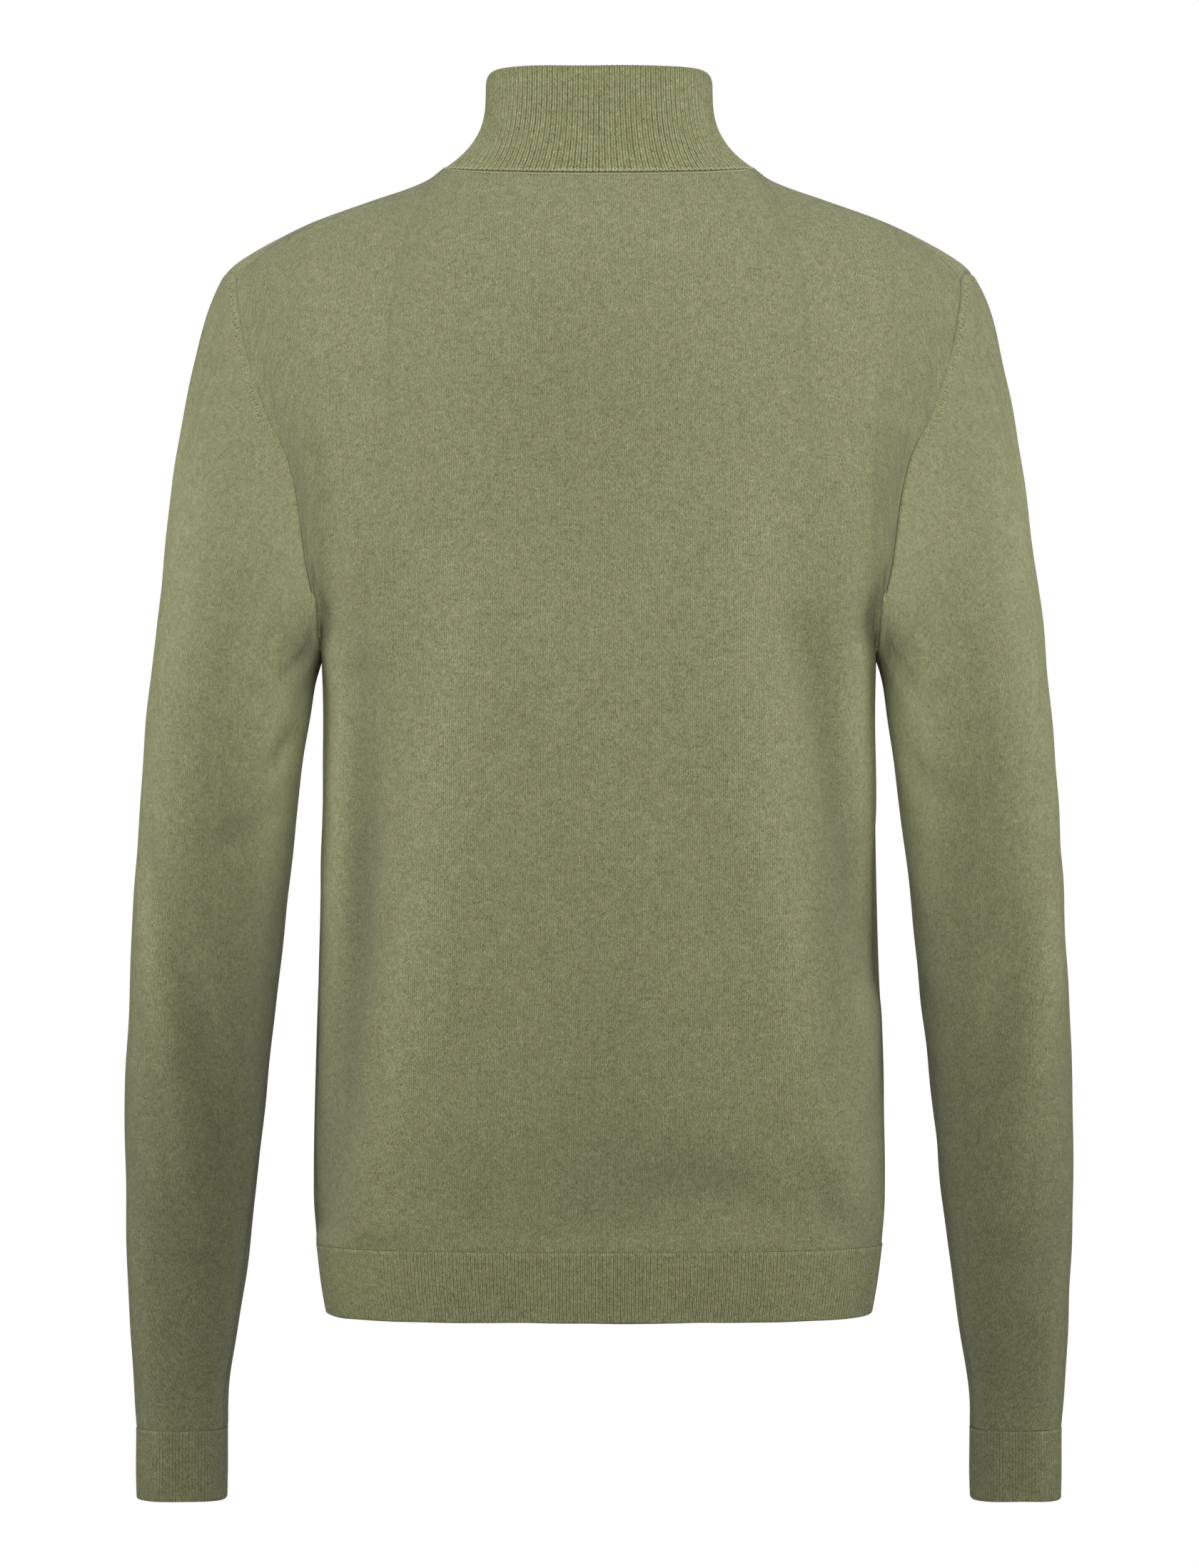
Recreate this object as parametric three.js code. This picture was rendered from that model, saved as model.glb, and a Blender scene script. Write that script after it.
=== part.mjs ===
// Turtleneck sweater, filled out as it is when worn, with nobody in it.
// Millimetres. +Z is up, the back faces -Y, the front faces +Y, and +X is the wearer's right. The
// origin lies midway between the two neck points, at their height, where the wearer's neck and
// shoulders carry the sweater.
//
// Every piece is a wall: an outer surface worked out from the sizes below, and the same surface moved
// inwards by the thickness of the cloth. Neck, hem and cuffs are open.
import * as THREE from 'three';

// ---------------------------------------------------------------- driving sizes

const JERSEY_WALL = 1.6;
const RIB_WALL = 2.2;
const COLLAR_WALL = 3.0;
const SEAM_GAP = 0.3;

const ARMPIT_Z = -273;
const HEM_SEAM_Z = -601;
const CUFF_SEAM_Z = -707.5;

// How round the body is across (2 is an ellipse, more is squarer), and over the shoulders.
const BODY_SQUARENESS = 3.0;
const SHOULDER_ROUNDNESS = { back: 2.0, front: 1.9 };
const SLEEVE_SQUARENESS = 2.7;
const COLLAR_SQUARENESS = 2.8;

const NECK_POINT_X = 87;
const NECK_CROWN = 36;
const NECK_DROP = { back: 6.6, front: 36 };

// The body below the armpits: half the width at the side seams, and how far the back and the front
// stand out from them.
const BODY_SECTIONS = [
  { z: -273, half: 154.5, back: 110, front: 114 },
  { z: -350, half: 154.7, back: 106.5, front: 112 },
  { z: -426, half: 156.2, back: 104, front: 108 },
  { z: -505, half: 158.8, back: 102.8, front: 106 },
  { z: -575, half: 159.9, back: 102.8, front: 105 },
  { z: -601, half: 158.0, back: 102.6, front: 103 },
];

const HEM_SECTIONS = [
  { z: -601, half: 158.0, back: 102.6, front: 103 },
  { z: -622, half: 155.6, back: 102.2, front: 102 },
  { z: -640, half: 152.6, back: 101, front: 100 },
];

// The ridge of the shoulder, from the neck point to the tip where the sleeve begins.
const SHOULDER_RIDGE = [
  { x: 87, z: 0 },
  { x: 95, z: -6.2 },
  { x: 108, z: -11.8 },
  { x: 127, z: -18.2 },
  { x: 159, z: -29.8 },
  { x: 184, z: -41.8 },
  { x: 203, z: -53.6 },
  { x: 209.8, z: -59.6 },
];

// The armhole, from the underarm point up: where the two panels end, and the half width that the
// body's section would have if it ran on under the sleeve.
const ARMHOLE = [
  { z: -273, back: 154.5, front: 154.5, body: 154.5 },
  { z: -262, back: 154.9, front: 152.9, body: 165.4 },
  { z: -250, back: 155.8, front: 151.8, body: 175.5 },
  { z: -224, back: 161.2, front: 153.6, body: 193.5 },
  { z: -188, back: 166.2, front: 159.8, body: 207.5 },
  { z: -164, back: 172.2, front: 167.4, body: 213.5 },
  { z: -142, back: 183.0, front: 178.6, body: 219.5 },
  { z: -112, back: 193.4, front: 191.6, body: 228.5 },
  { z: -80, back: 200.5, front: 204.2, body: 238 },
  { z: -66.2, back: 201.8, front: 208.4, body: 244 },
  { z: -59.6, back: 201.8, front: 209.8, body: 247 },
];

// The front panel rolls over the shoulder: the seam lies behind the ridge by this much of the
// shoulder's slope, in degrees, at the tip, and joins the ridge at ROLL_END_X.
const ROLL_END_X = 150;
const ROLL_AT_TIP = 18.5;
const ROLL_EASE = 1.3;

// The sleeve from the biceps down: its outer and inner edges, half its depth from back to front,
// and how far forward of the shoulder it hangs.
const SLEEVE_SECTIONS = [
  { z: -300, outer: 252.8, inner: 161, depth: 65, forward: 2 },
  { z: -354, outer: 257.0, inner: 168.7, depth: 60, forward: 3 },
  { z: -414, outer: 260.9, inner: 175.4, depth: 55.5, forward: 5 },
  { z: -486, outer: 264.3, inner: 183.2, depth: 51, forward: 9 },
  { z: -558, outer: 266.2, inner: 191.0, depth: 46, forward: 15 },
  { z: -618, outer: 265.2, inner: 198.6, depth: 42, forward: 21 },
  { z: -654, outer: 263.9, inner: 203.6, depth: 39, forward: 25 },
  { z: -684, outer: 262.2, inner: 208.2, depth: 35, forward: 28 },
  { z: -707.5, outer: 260.8, inner: 209.6, depth: 32.5, forward: 30 },
];

const CUFF_SECTIONS = [
  { z: -707.5, outer: 260.8, inner: 209.6, depth: 32.5, forward: 30 },
  { z: -730, outer: 261.1, inner: 209.6, depth: 32, forward: 32 },
  { z: -748, outer: 261.0, inner: 210.0, depth: 31.5, forward: 34 },
];

// How the sleeve's crown leaves the armhole (how far it runs on, and its direction: outwards,
// downwards, and inwards from back and front), and how it comes down onto the arm.
const CROWN_LEAVE = { reach: 0.13, out: 0.6, down: 0.8, turnIn: 0.1, turnInFrom: 30 };
const CROWN_ARRIVE = { reach: 0.4, lean: 0.1 };

// The collar's top edge: half width, half depth, how far forward it leans, and its heights.
const COLLAR_TOP = { half: 63.4, depth: 54, forward: 2, backZ: 53, sideZ: 46, frontZ: 20 };
const COLLAR_FLARE = 3.4;
const COLLAR_TOP_EASE = 4;

// Long soft folds of the panels: where each runs from and to, how far it spreads to either side,
// and how far it stands out of the cloth, or sinks in where it is negative.
const BACK_FOLDS = [
  { fromX: -96, fromZ: -290, toX: -128, toZ: -500, spread: 17, lift: 2.4 },
  { fromX: -128, fromZ: -500, toX: -140, toZ: -590, spread: 15, lift: 2.2 },
  { fromX: -139, fromZ: -330, toX: -150, toZ: -560, spread: 11, lift: -2.6 },
  { fromX: 76, fromZ: -268, toX: 90, toZ: -430, spread: 20, lift: 2.2 },
  { fromX: 90, fromZ: -430, toX: 136, toZ: -560, spread: 17, lift: 2.4 },
  { fromX: 112, fromZ: -262, toX: 146, toZ: -380, spread: 14, lift: -2.6 },
  { fromX: 44, fromZ: -560, toX: 96, toZ: -585, spread: 20, lift: -1.8 },
];
const FRONT_FOLDS = [
  { fromX: 90, fromZ: -285, toX: 122, toZ: -480, spread: 18, lift: 2.2 },
  { fromX: 138, fromZ: -340, toX: 148, toZ: -545, spread: 12, lift: -2.4 },
  { fromX: -72, fromZ: -275, toX: -96, toZ: -450, spread: 20, lift: 2.0 },
  { fromX: -116, fromZ: -270, toX: -144, toZ: -400, spread: 14, lift: -2.2 },
  { fromX: -40, fromZ: -560, toX: -88, toZ: -582, spread: 20, lift: -1.6 },
];
// The folds fade out towards the side seams and the hem (FOLD_FADE) and the top edge (TOP_FADE).
const FOLD_FADE = 6;
const TOP_FADE = 3;

// How finely the cloth is faceted, and how its rows crowd towards a seam (1 is even).
const SHOULDER_COLUMNS = 5;
const NECK_COLUMNS = 12;
const COLUMNS = 2 * SHOULDER_COLUMNS + NECK_COLUMNS;
const BODY_ROWS = 7;
const ARMHOLE_ROWS = 12;
const ROLL_ROWS = 2;
const CAP_ROWS = 7;
const SLEEVE_ROWS = 9;
const COLLAR_ROWS = 6;
const HEM_ROWS = 3;
const CUFF_ROWS = 3;
const LOOP_COLUMNS = 2 * ARMHOLE_ROWS + ROLL_ROWS;
const UNDERARM_CROWDING = 1.35;
const CAP_CROWDING = 1.2;
const COLLAR_CROWDING = 1.5;

// How often the x of a place on the armhole is worked out again from its height.
const EDGE_PASSES = 6;

const NUDGE = 0.002;

// ---------------------------------------------------------------- helpers

const RIGHT_ANGLE = Math.PI / 2;
const vec = (x, y, z) => new THREE.Vector3(x, y, z);
const lerp = THREE.MathUtils.lerp;
const clamp = THREE.MathUtils.clamp;
const radians = THREE.MathUtils.degToRad;
const signedPower = (value, power) => Math.sign(value) * Math.abs(value) ** power;

// A column of a table at a given place of its key, on a smooth curve through the rows.
function along(rows, key, at, column) {
  const rising = rows[rows.length - 1][key] > rows[0][key];
  const ordered = rising ? rows : [...rows].reverse();
  const last = ordered.length - 1;
  let i = 0;
  while (i < last - 1 && at > ordered[i + 1][key]) i += 1;
  const slope = (j) => {
    const a = ordered[Math.max(j - 1, 0)];
    const b = ordered[Math.min(j + 1, last)];
    return (b[column] - a[column]) / (b[key] - a[key]);
  };
  const from = ordered[i];
  const to = ordered[i + 1];
  const span = to[key] - from[key];
  const t = (at - from[key]) / span;
  if (t <= 0) return from[column] + slope(i) * (at - from[key]);
  if (t >= 1) return to[column] + slope(i + 1) * (at - to[key]);
  const s = t * t * (3 - 2 * t);
  const bend = slope(i) * t * (1 - t) ** 2 - slope(i + 1) * t * t * (1 - t);
  return lerp(from[column], to[column], s) + bend * span;
}

// The height of a set of folds at a place on a panel.
function foldLift(folds, x, z) {
  let lift = 0;
  for (const fold of folds) {
    const run = vec(fold.toX - fold.fromX, 0, fold.toZ - fold.fromZ);
    const place = vec(x - fold.fromX, 0, z - fold.fromZ);
    const share = clamp(place.dot(run) / run.lengthSq(), 0, 1);
    const off = place.distanceTo(run.clone().multiplyScalar(share)) / fold.spread;
    lift += fold.lift * Math.exp(-off * off);
  }
  return lift;
}

// The direction into the garment at a place on a surface given as a function of two numbers.
function inwards(surface, a, b, turn) {
  const da = surface(a + NUDGE, b).sub(surface(a - NUDGE, b));
  const db = surface(a, b + NUDGE).sub(surface(a, b - NUDGE));
  return da.cross(db).normalize().multiplyScalar(turn);
}

// Draws the edges of a grid back by half a seam's gap, so that neighbours never touch. sides says
// which of its edges are sewn: low and high for the first and last row, ends for the row ends.
function drawBack(grid, sides) {
  const half = SEAM_GAP / 2;
  const shift = (from, to) => from.clone().add(to.clone().sub(from).setLength(half));
  const last = grid.length - 1;
  const trimmed = grid.map((row) => [...row]);
  if (sides.low) trimmed[0] = grid[0].map((point, i) => shift(point, grid[1][i]));
  if (sides.high) trimmed[last] = grid[last].map((point, i) => shift(point, grid[last - 1][i]));
  if (!sides.ends) return trimmed;
  return trimmed.map((row) => {
    const end = row.length - 1;
    const drawn = [...row];
    drawn[0] = shift(row[0], row[1]);
    drawn[end] = shift(row[end], row[end - 1]);
    return drawn;
  });
}

// A closed wall from its outer and inner grids. Each grid is a list of rows of points; a ring's rows
// close on themselves. turned is true where the rows run clockwise seen from outside.
function wallMesh(name, outer, inner, ring, turned, material) {
  const rows = outer.length;
  const columns = outer[0].length;
  const positions = [...outer.flat(), ...inner.flat()].flatMap((p) => [p.x, p.y, p.z]);
  const at = (layer, row, column) => layer * rows * columns + row * columns + (column % columns);
  const faces = [];
  const quad = (a, b, c, d) => faces.push(...(turned ? [a, c, b, a, d, c] : [a, b, c, a, c, d]));
  const steps = ring ? columns : columns - 1;
  for (let row = 0; row < rows - 1; row += 1) {
    for (let column = 0; column < steps; column += 1) {
      const next = column + 1;
      quad(at(0, row, column), at(0, row, next), at(0, row + 1, next), at(0, row + 1, column));
      quad(at(1, row, column), at(1, row + 1, column), at(1, row + 1, next), at(1, row, next));
    }
  }
  for (let column = 0; column < steps; column += 1) {
    const next = column + 1;
    const top = rows - 1;
    quad(at(0, 0, column), at(1, 0, column), at(1, 0, next), at(0, 0, next));
    quad(at(0, top, column), at(0, top, next), at(1, top, next), at(1, top, column));
  }
  if (!ring) {
    for (let row = 0; row < rows - 1; row += 1) {
      const end = columns - 1;
      quad(at(0, row, 0), at(0, row + 1, 0), at(1, row + 1, 0), at(1, row, 0));
      quad(at(0, row, end), at(1, row, end), at(1, row + 1, end), at(0, row + 1, end));
    }
  }
  const geometry = new THREE.BufferGeometry();
  geometry.setAttribute('position', new THREE.Float32BufferAttribute(positions, 3));
  geometry.setIndex(faces);
  geometry.computeVertexNormals();
  const mesh = new THREE.Mesh(geometry, material);
  mesh.name = name;
  return mesh;
}

// ---------------------------------------------------------------- the form of the body

const squareness = (share, power) => (1 - Math.min(Math.abs(share), 1) ** power) ** (1 / power);

function ridgeZ(x) {
  const reach = Math.abs(x);
  if (reach >= NECK_POINT_X) return along(SHOULDER_RIDGE, 'x', reach, 'z');
  return NECK_CROWN * (1 - (reach / NECK_POINT_X) ** 2);
}

// The height of the neck seam on one side, for the share (0 to 1) of the neck's half width.
function neckSeamZ(side, share) {
  return -NECK_DROP[side] * Math.sqrt(Math.max(1 - share * share, 0));
}

// A point above the armpits, from its x and its lift: the angle that climbs from 0 at the armpits to
// 90 degrees on the shoulder's ridge, and goes on over it onto the other side.
function shoulderPoint(side, x, lift) {
  const over = lift > RIGHT_ANGLE;
  const face = over ? (side === 'back' ? 'front' : 'back') : side;
  const angle = over ? Math.PI - lift : lift;
  const round = SHOULDER_ROUNDNESS[face];
  const rise = signedPower(Math.sin(angle), 2 / round);
  const stand = Math.max(Math.cos(angle), 0) ** (2 / round);
  const z = ARMPIT_Z + (ridgeZ(x) - ARMPIT_Z) * rise;
  const across = squareness(x / along(ARMHOLE, 'z', z, 'body'), BODY_SQUARENESS);
  const depth = BODY_SECTIONS[0][face] * across * stand;
  return vec(x, face === 'back' ? -depth : depth, z);
}

// The lift that puts a point of given x at a given height.
function liftAt(side, x, z) {
  const rise = clamp((z - ARMPIT_Z) / (ridgeZ(x) - ARMPIT_Z), 0, 1);
  return Math.asin(rise ** (SHOULDER_ROUNDNESS[side] / 2));
}

// A point of a section of the body: column runs from -1 to 1 from side seam to side seam.
function sectionPoint(sections, side, column, z) {
  const angle = column * RIGHT_ANGLE;
  const across = signedPower(Math.sin(angle), 2 / BODY_SQUARENESS);
  const out = signedPower(Math.cos(angle), 2 / BODY_SQUARENESS);
  const depth = along(sections, 'z', z, side) * out;
  return vec(along(sections, 'z', z, 'half') * across, side === 'back' ? -depth : depth, z);
}

const TIP_SEAM_X = ARMHOLE[ARMHOLE.length - 1].back;
const TIP_LIFT = RIGHT_ANGLE - radians(ROLL_AT_TIP);
const rollLift = (x) => {
  const share = clamp((Math.abs(x) - ROLL_END_X) / (TIP_SEAM_X - ROLL_END_X), 0, 1);
  return radians(ROLL_AT_TIP) * share ** ROLL_EASE;
};

// The top edge of a panel runs along the shoulder seam, the neckline and the other shoulder seam.
// The x of a column there: column runs from -1 to 1.
function topEdgeX(column) {
  const neckShare = NECK_COLUMNS / COLUMNS;
  const reach = Math.abs(column);
  if (reach <= neckShare) return NECK_POINT_X * Math.sin((column / neckShare) * RIGHT_ANGLE);
  const out = (reach - neckShare) / (1 - neckShare);
  return Math.sign(column) * lerp(NECK_POINT_X, TIP_SEAM_X, out);
}

function topEdgeLift(side, x) {
  const share = Math.abs(x) / NECK_POINT_X;
  if (share < 1) return liftAt(side, x, neckSeamZ(side, share));
  return side === 'back' ? RIGHT_ANGLE - rollLift(x) : RIGHT_ANGLE + rollLift(x);
}

// The armhole edge of a panel, from 0 at the underarm to 1 at the end of the shoulder seam:
// its x and its lift.
function armholeEdge(side, climb) {
  if (side === 'back') {
    const lift = climb * TIP_LIFT;
    let x = ARMHOLE[0].back;
    for (let pass = 0; pass < EDGE_PASSES; pass += 1) {
      x = along(ARMHOLE, 'z', shoulderPoint('back', x, lift).z, 'back');
    }
    return { x, lift };
  }
  const rollShare = ROLL_ROWS / (ARMHOLE_ROWS + ROLL_ROWS);
  const toTip = Math.min(climb / (1 - rollShare), 1);
  if (climb > 1 - rollShare) {
    const over = (climb - 1 + rollShare) / rollShare;
    const tip = ARMHOLE[ARMHOLE.length - 1].front;
    return { x: lerp(tip, TIP_SEAM_X, over), lift: RIGHT_ANGLE + over * radians(ROLL_AT_TIP) };
  }
  const lift = toTip * RIGHT_ANGLE;
  let x = ARMHOLE[0].front;
  for (let pass = 0; pass < EDGE_PASSES; pass += 1) {
    x = along(ARMHOLE, 'z', shoulderPoint('front', x, lift).z, 'front');
  }
  return { x, lift };
}

// A point of a panel above the armpits: climb runs from 0 at the armpits to 1 at the top edge.
function yokePoint(side, column, climb) {
  const edge = armholeEdge(side, clamp(climb, 0, 1));
  const topShare = topEdgeX(column) / TIP_SEAM_X;
  const sectionShare = signedPower(Math.sin(column * RIGHT_ANGLE), 2 / BODY_SQUARENESS);
  const x = edge.x * lerp(sectionShare, topShare, climb);
  const topLift = topEdgeLift(side, topEdgeX(column));
  const fullLift = topEdgeLift(side, TIP_SEAM_X);
  return shoulderPoint(side, x, (edge.lift / fullLift) * topLift);
}

// How far up the armhole a row of it lies: the rows crowd towards the underarm, and are even over
// the rolled end of the front panel.
function climbOf(row, rollRows) {
  const rows = ARMHOLE_ROWS + rollRows;
  if (row > ARMHOLE_ROWS) return row / rows;
  return (ARMHOLE_ROWS / rows) * (row / ARMHOLE_ROWS) ** UNDERARM_CROWDING;
}

// ---------------------------------------------------------------- front and back panels

// height runs from 0 at the hem seam, through 1 at the armpits, to 2 at the top edge.
function panelPoint(side, column, height) {
  if (height >= 1) return yokePoint(side, column, height - 1);
  const z = lerp(HEM_SEAM_Z, ARMPIT_Z, height);
  return sectionPoint(BODY_SECTIONS, side, column, z);
}

function makePanel(side, name, folds, material) {
  const surface = (column, height) => panelPoint(side, column, height);
  const turn = side === 'back' ? -1 : 1;
  const rowHeights = [];
  const rollRows = side === 'back' ? 0 : ROLL_ROWS;
  for (let row = 0; row < BODY_ROWS; row += 1) rowHeights.push(row / BODY_ROWS);
  for (let row = 0; row <= ARMHOLE_ROWS + rollRows; row += 1) rowHeights.push(1 + climbOf(row, rollRows));
  const outer = [];
  const inner = [];
  for (const height of rowHeights) {
    const outerRow = [];
    const innerRow = [];
    for (let step = 0; step <= COLUMNS; step += 1) {
      const column = (2 * step) / COLUMNS - 1;
      const plain = surface(column, height);
      const inset = clamp(column, -1 + 2 * NUDGE, 1 - 2 * NUDGE);
      const inward = inwards(surface, inset, clamp(height, 2 * NUDGE, 2 - 2 * NUDGE), turn);
      const sideFade = Math.min(1, FOLD_FADE * (1 - Math.abs(column)));
      const endFade = Math.min(1, FOLD_FADE * height, TOP_FADE * (2 - height));
      plain.addScaledVector(inward, -sideFade * endFade * foldLift(folds, plain.x, plain.z));
      outerRow.push(plain);
      innerRow.push(plain.clone().addScaledVector(inward, JERSEY_WALL));
    }
    outer.push(outerRow);
    inner.push(innerRow);
  }
  const sewn = { low: true, high: true, ends: true };
  return wallMesh(name, drawBack(outer, sewn), drawBack(inner, sewn), false, side === 'front', material);
}

// ---------------------------------------------------------------- sleeves

// The armhole as one loop for the wearer's right (side 1) or left (side -1) sleeve:
// from the underarm point up the back, over the rolled end of the front panel and down the front.
function armholeLoop(side) {
  const loop = [];
  for (let step = 0; step < LOOP_COLUMNS; step += 1) {
    const onBack = step <= ARMHOLE_ROWS;
    const climb = onBack ? climbOf(step, 0) : climbOf(LOOP_COLUMNS - step, ROLL_ROWS);
    const face = onBack ? 'back' : 'front';
    const edge = yokePoint(face, side, climb);
    const body = (column, height) => panelPoint(face, column, height);
    const near = side * (1 - 2 * NUDGE);
    const inward = inwards(body, near, 1 + clamp(climb, 2 * NUDGE, 1 - 2 * NUDGE), onBack ? -1 : 1);
    loop.push({ point: edge, inward });
  }
  return loop;
}

function sleeveRing(side, sections, z, angle) {
  const outer = along(sections, 'z', z, 'outer');
  const inner = along(sections, 'z', z, 'inner');
  const depth = along(sections, 'z', z, 'depth');
  const across = signedPower(Math.cos(angle), 2 / SLEEVE_SQUARENESS);
  const out = signedPower(Math.sin(angle), 2 / SLEEVE_SQUARENESS);
  const x = side * (outer + inner + (outer - inner) * across) / 2;
  return vec(x, along(sections, 'z', z, 'forward') + depth * out, z);
}

// Where each column of the loop meets the rings: 0 is the outer edge of the arm, 180 degrees the
// inner edge, and the shares follow the length of the loop.
function loopAngles(loop) {
  const lengths = [0];
  for (let i = 1; i <= loop.length; i += 1) {
    lengths.push(lengths[i - 1] + loop[i % loop.length].point.distanceTo(loop[i - 1].point));
  }
  return loop.map((_, i) => Math.PI + (2 * Math.PI * lengths[i]) / lengths[loop.length]);
}

// The crown of the sleeve: from the armhole, out and down to the first ring of the sleeve.
function crownPoint(side, start, end, share) {
  const reach = start.distanceTo(end);
  const { out, down, turnIn, turnInFrom } = CROWN_LEAVE;
  const y = -turnIn * clamp(start.y / turnInFrom, -1, 1);
  const leave = vec(side * out, y, -down).normalize().multiplyScalar(CROWN_LEAVE.reach * reach);
  const arrive = vec(-side * CROWN_ARRIVE.lean, 0, 1).multiplyScalar(CROWN_ARRIVE.reach * reach);
  const curve = new THREE.CubicBezierCurve3(
    start,
    start.clone().add(leave),
    end.clone().add(arrive),
    end,
  );
  return curve.getPoint(share);
}

function makeSleeve(side, name, material) {
  const loop = armholeLoop(side);
  const angles = loopAngles(loop);
  const topZ = SLEEVE_SECTIONS[0].z;
  const columnPoint = (column, height) => {
    const i = Math.round(column);
    const angle = angles[i];
    const end = sleeveRing(side, SLEEVE_SECTIONS, topZ, angle);
    if (height < 1) return crownPoint(side, loop[i].point, end, height);
    return sleeveRing(side, SLEEVE_SECTIONS, lerp(topZ, CUFF_SEAM_Z, height - 1), angle);
  };
  const heights = [];
  for (let row = 0; row < CAP_ROWS; row += 1) heights.push((row / CAP_ROWS) ** CAP_CROWDING);
  for (let row = 0; row <= SLEEVE_ROWS; row += 1) heights.push(1 + row / SLEEVE_ROWS);
  const outer = heights.map((height) => loop.map((_, i) => columnPoint(i, height)));
  const inner = outer.map((row, r) => row.map((point, i) => {
    const before = row[(i + row.length - 1) % row.length];
    const after = row[(i + 1) % row.length];
    const above = outer[Math.max(r - 1, 0)][i];
    const below = outer[Math.min(r + 1, outer.length - 1)][i];
    const inward = after.clone().sub(before).cross(below.clone().sub(above)).normalize();
    inward.multiplyScalar(side);
    if (r === 0) {
      const agree = clamp(2 * inward.dot(loop[i].inward), 0, 1);
      inward.lerp(loop[i].inward, agree).normalize();
    }
    return point.clone().addScaledVector(inward, JERSEY_WALL);
  }));
  const sewn = { low: true, high: true, ends: false };
  return wallMesh(name, drawBack(outer, sewn), drawBack(inner, sewn), true, side > 0, material);
}

// ---------------------------------------------------------------- ribbed pieces

// A ribbed band. rimInward, where given, is the direction into the garment along its seam, so that
// the band meets its neighbour face to face.
function ringWall(name, surface, angles, heights, wall, turned, material, rimInward) {
  const outer = heights.map((height) => angles.map((angle) => surface(angle, height)));
  const turn = turned ? 1 : -1;
  const inner = heights.map((height, r) => angles.map((angle, i) => {
    const onRim = r === 0 && rimInward;
    const inset = clamp(height, 2 * NUDGE, 1 - 2 * NUDGE);
    const inward = onRim ? rimInward(angle) : inwards(surface, angle, inset, turn);
    return outer[r][i].clone().addScaledVector(inward, wall);
  }));
  const sewn = { low: true, high: false, ends: false };
  return wallMesh(name, drawBack(outer, sewn), drawBack(inner, sewn), true, turned, material);
}

// The neck seam all round: angle 0 is the middle of the back, 90 degrees the neck point at +X.
function neckSeamPoint(angle) {
  const side = Math.cos(angle) >= 0 ? 'back' : 'front';
  const x = NECK_POINT_X * Math.sin(angle);
  return shoulderPoint(side, x, topEdgeLift(side, x));
}

function neckSeamInward(angle) {
  const side = Math.cos(angle) >= 0 ? 'back' : 'front';
  const x = NECK_POINT_X * Math.sin(angle);
  const surface = (a, lift) => shoulderPoint(side, a * NECK_POINT_X, lift);
  return inwards(surface, x / NECK_POINT_X, topEdgeLift(side, x), side === 'back' ? -1 : 1);
}

function collarTopPoint(angle) {
  const across = signedPower(Math.sin(angle), 2 / COLLAR_SQUARENESS);
  const back = signedPower(Math.cos(angle), 2 / COLLAR_SQUARENESS);
  const { half, depth, forward, backZ, sideZ, frontZ } = COLLAR_TOP;
  const turned = (1 - Math.cos(angle)) / 2;
  const dip = back > 0 ? (2 * turned) ** COLLAR_TOP_EASE : 2 * turned - 1;
  const z = back > 0 ? lerp(backZ, sideZ, dip) : lerp(sideZ, frontZ, dip);
  return vec(half * across, forward - depth * back, z);
}

function collarPoint(angle, height) {
  const base = neckSeamPoint(angle);
  const top = collarTopPoint(angle);
  const flare = (1 - height) ** COLLAR_FLARE;
  return vec(lerp(top.x, base.x, flare), lerp(top.y, base.y, flare), lerp(base.z, top.z, height));
}

function makeCollar(name, material) {
  const angles = [];
  for (let step = 0; step < 2 * NECK_COLUMNS; step += 1) {
    angles.push((step * Math.PI) / NECK_COLUMNS);
  }
  const heights = [];
  for (let row = 0; row <= COLLAR_ROWS; row += 1) heights.push((row / COLLAR_ROWS) ** COLLAR_CROWDING);
  return ringWall(name, collarPoint, angles, heights, COLLAR_WALL, false, material, neckSeamInward);
}

function hemPoint(angle, height) {
  const z = lerp(HEM_SEAM_Z, HEM_SECTIONS[HEM_SECTIONS.length - 1].z, height);
  const onBack = Math.cos(angle) >= 0;
  const across = Math.asin(clamp(Math.sin(angle), -1, 1)) / RIGHT_ANGLE;
  return sectionPoint(HEM_SECTIONS, onBack ? 'back' : 'front', across, z);
}

function makeHem(name, material) {
  const angles = [];
  for (let step = 0; step < 2 * COLUMNS; step += 1) angles.push((step * Math.PI) / COLUMNS);
  const heights = [];
  for (let row = 0; row <= HEM_ROWS; row += 1) heights.push(row / HEM_ROWS);
  return ringWall(name, hemPoint, angles, heights, RIB_WALL, true, material);
}

function makeCuff(side, name, material) {
  const surface = (angle, height) => {
    const z = lerp(CUFF_SEAM_Z, CUFF_SECTIONS[CUFF_SECTIONS.length - 1].z, height);
    return sleeveRing(side, CUFF_SECTIONS, z, angle);
  };
  const angles = loopAngles(armholeLoop(side));
  const heights = [];
  for (let row = 0; row <= CUFF_ROWS; row += 1) heights.push(row / CUFF_ROWS);
  return ringWall(name, surface, angles, heights, RIB_WALL, side > 0, material);
}

// ---------------------------------------------------------------- the sweater

const jersey = () => new THREE.MeshStandardMaterial({ color: 0x858e64, roughness: 0.95, metalness: 0 });
const rib = () => new THREE.MeshStandardMaterial({ color: 0x848c62, roughness: 0.95, metalness: 0 });

const sweater = new THREE.Group();
sweater.add(makePanel('back', 'back_panel', BACK_FOLDS, jersey()));
sweater.add(makePanel('front', 'front_panel', FRONT_FOLDS, jersey()));
sweater.add(makeSleeve(-1, 'sleeve_left', jersey()));
sweater.add(makeSleeve(1, 'sleeve_right', jersey()));
sweater.add(makeCollar('collar', rib()));
sweater.add(makeHem('hem_rib', rib()));
sweater.add(makeCuff(-1, 'cuff_left', rib()));
sweater.add(makeCuff(1, 'cuff_right', rib()));

export default sweater;
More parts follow.
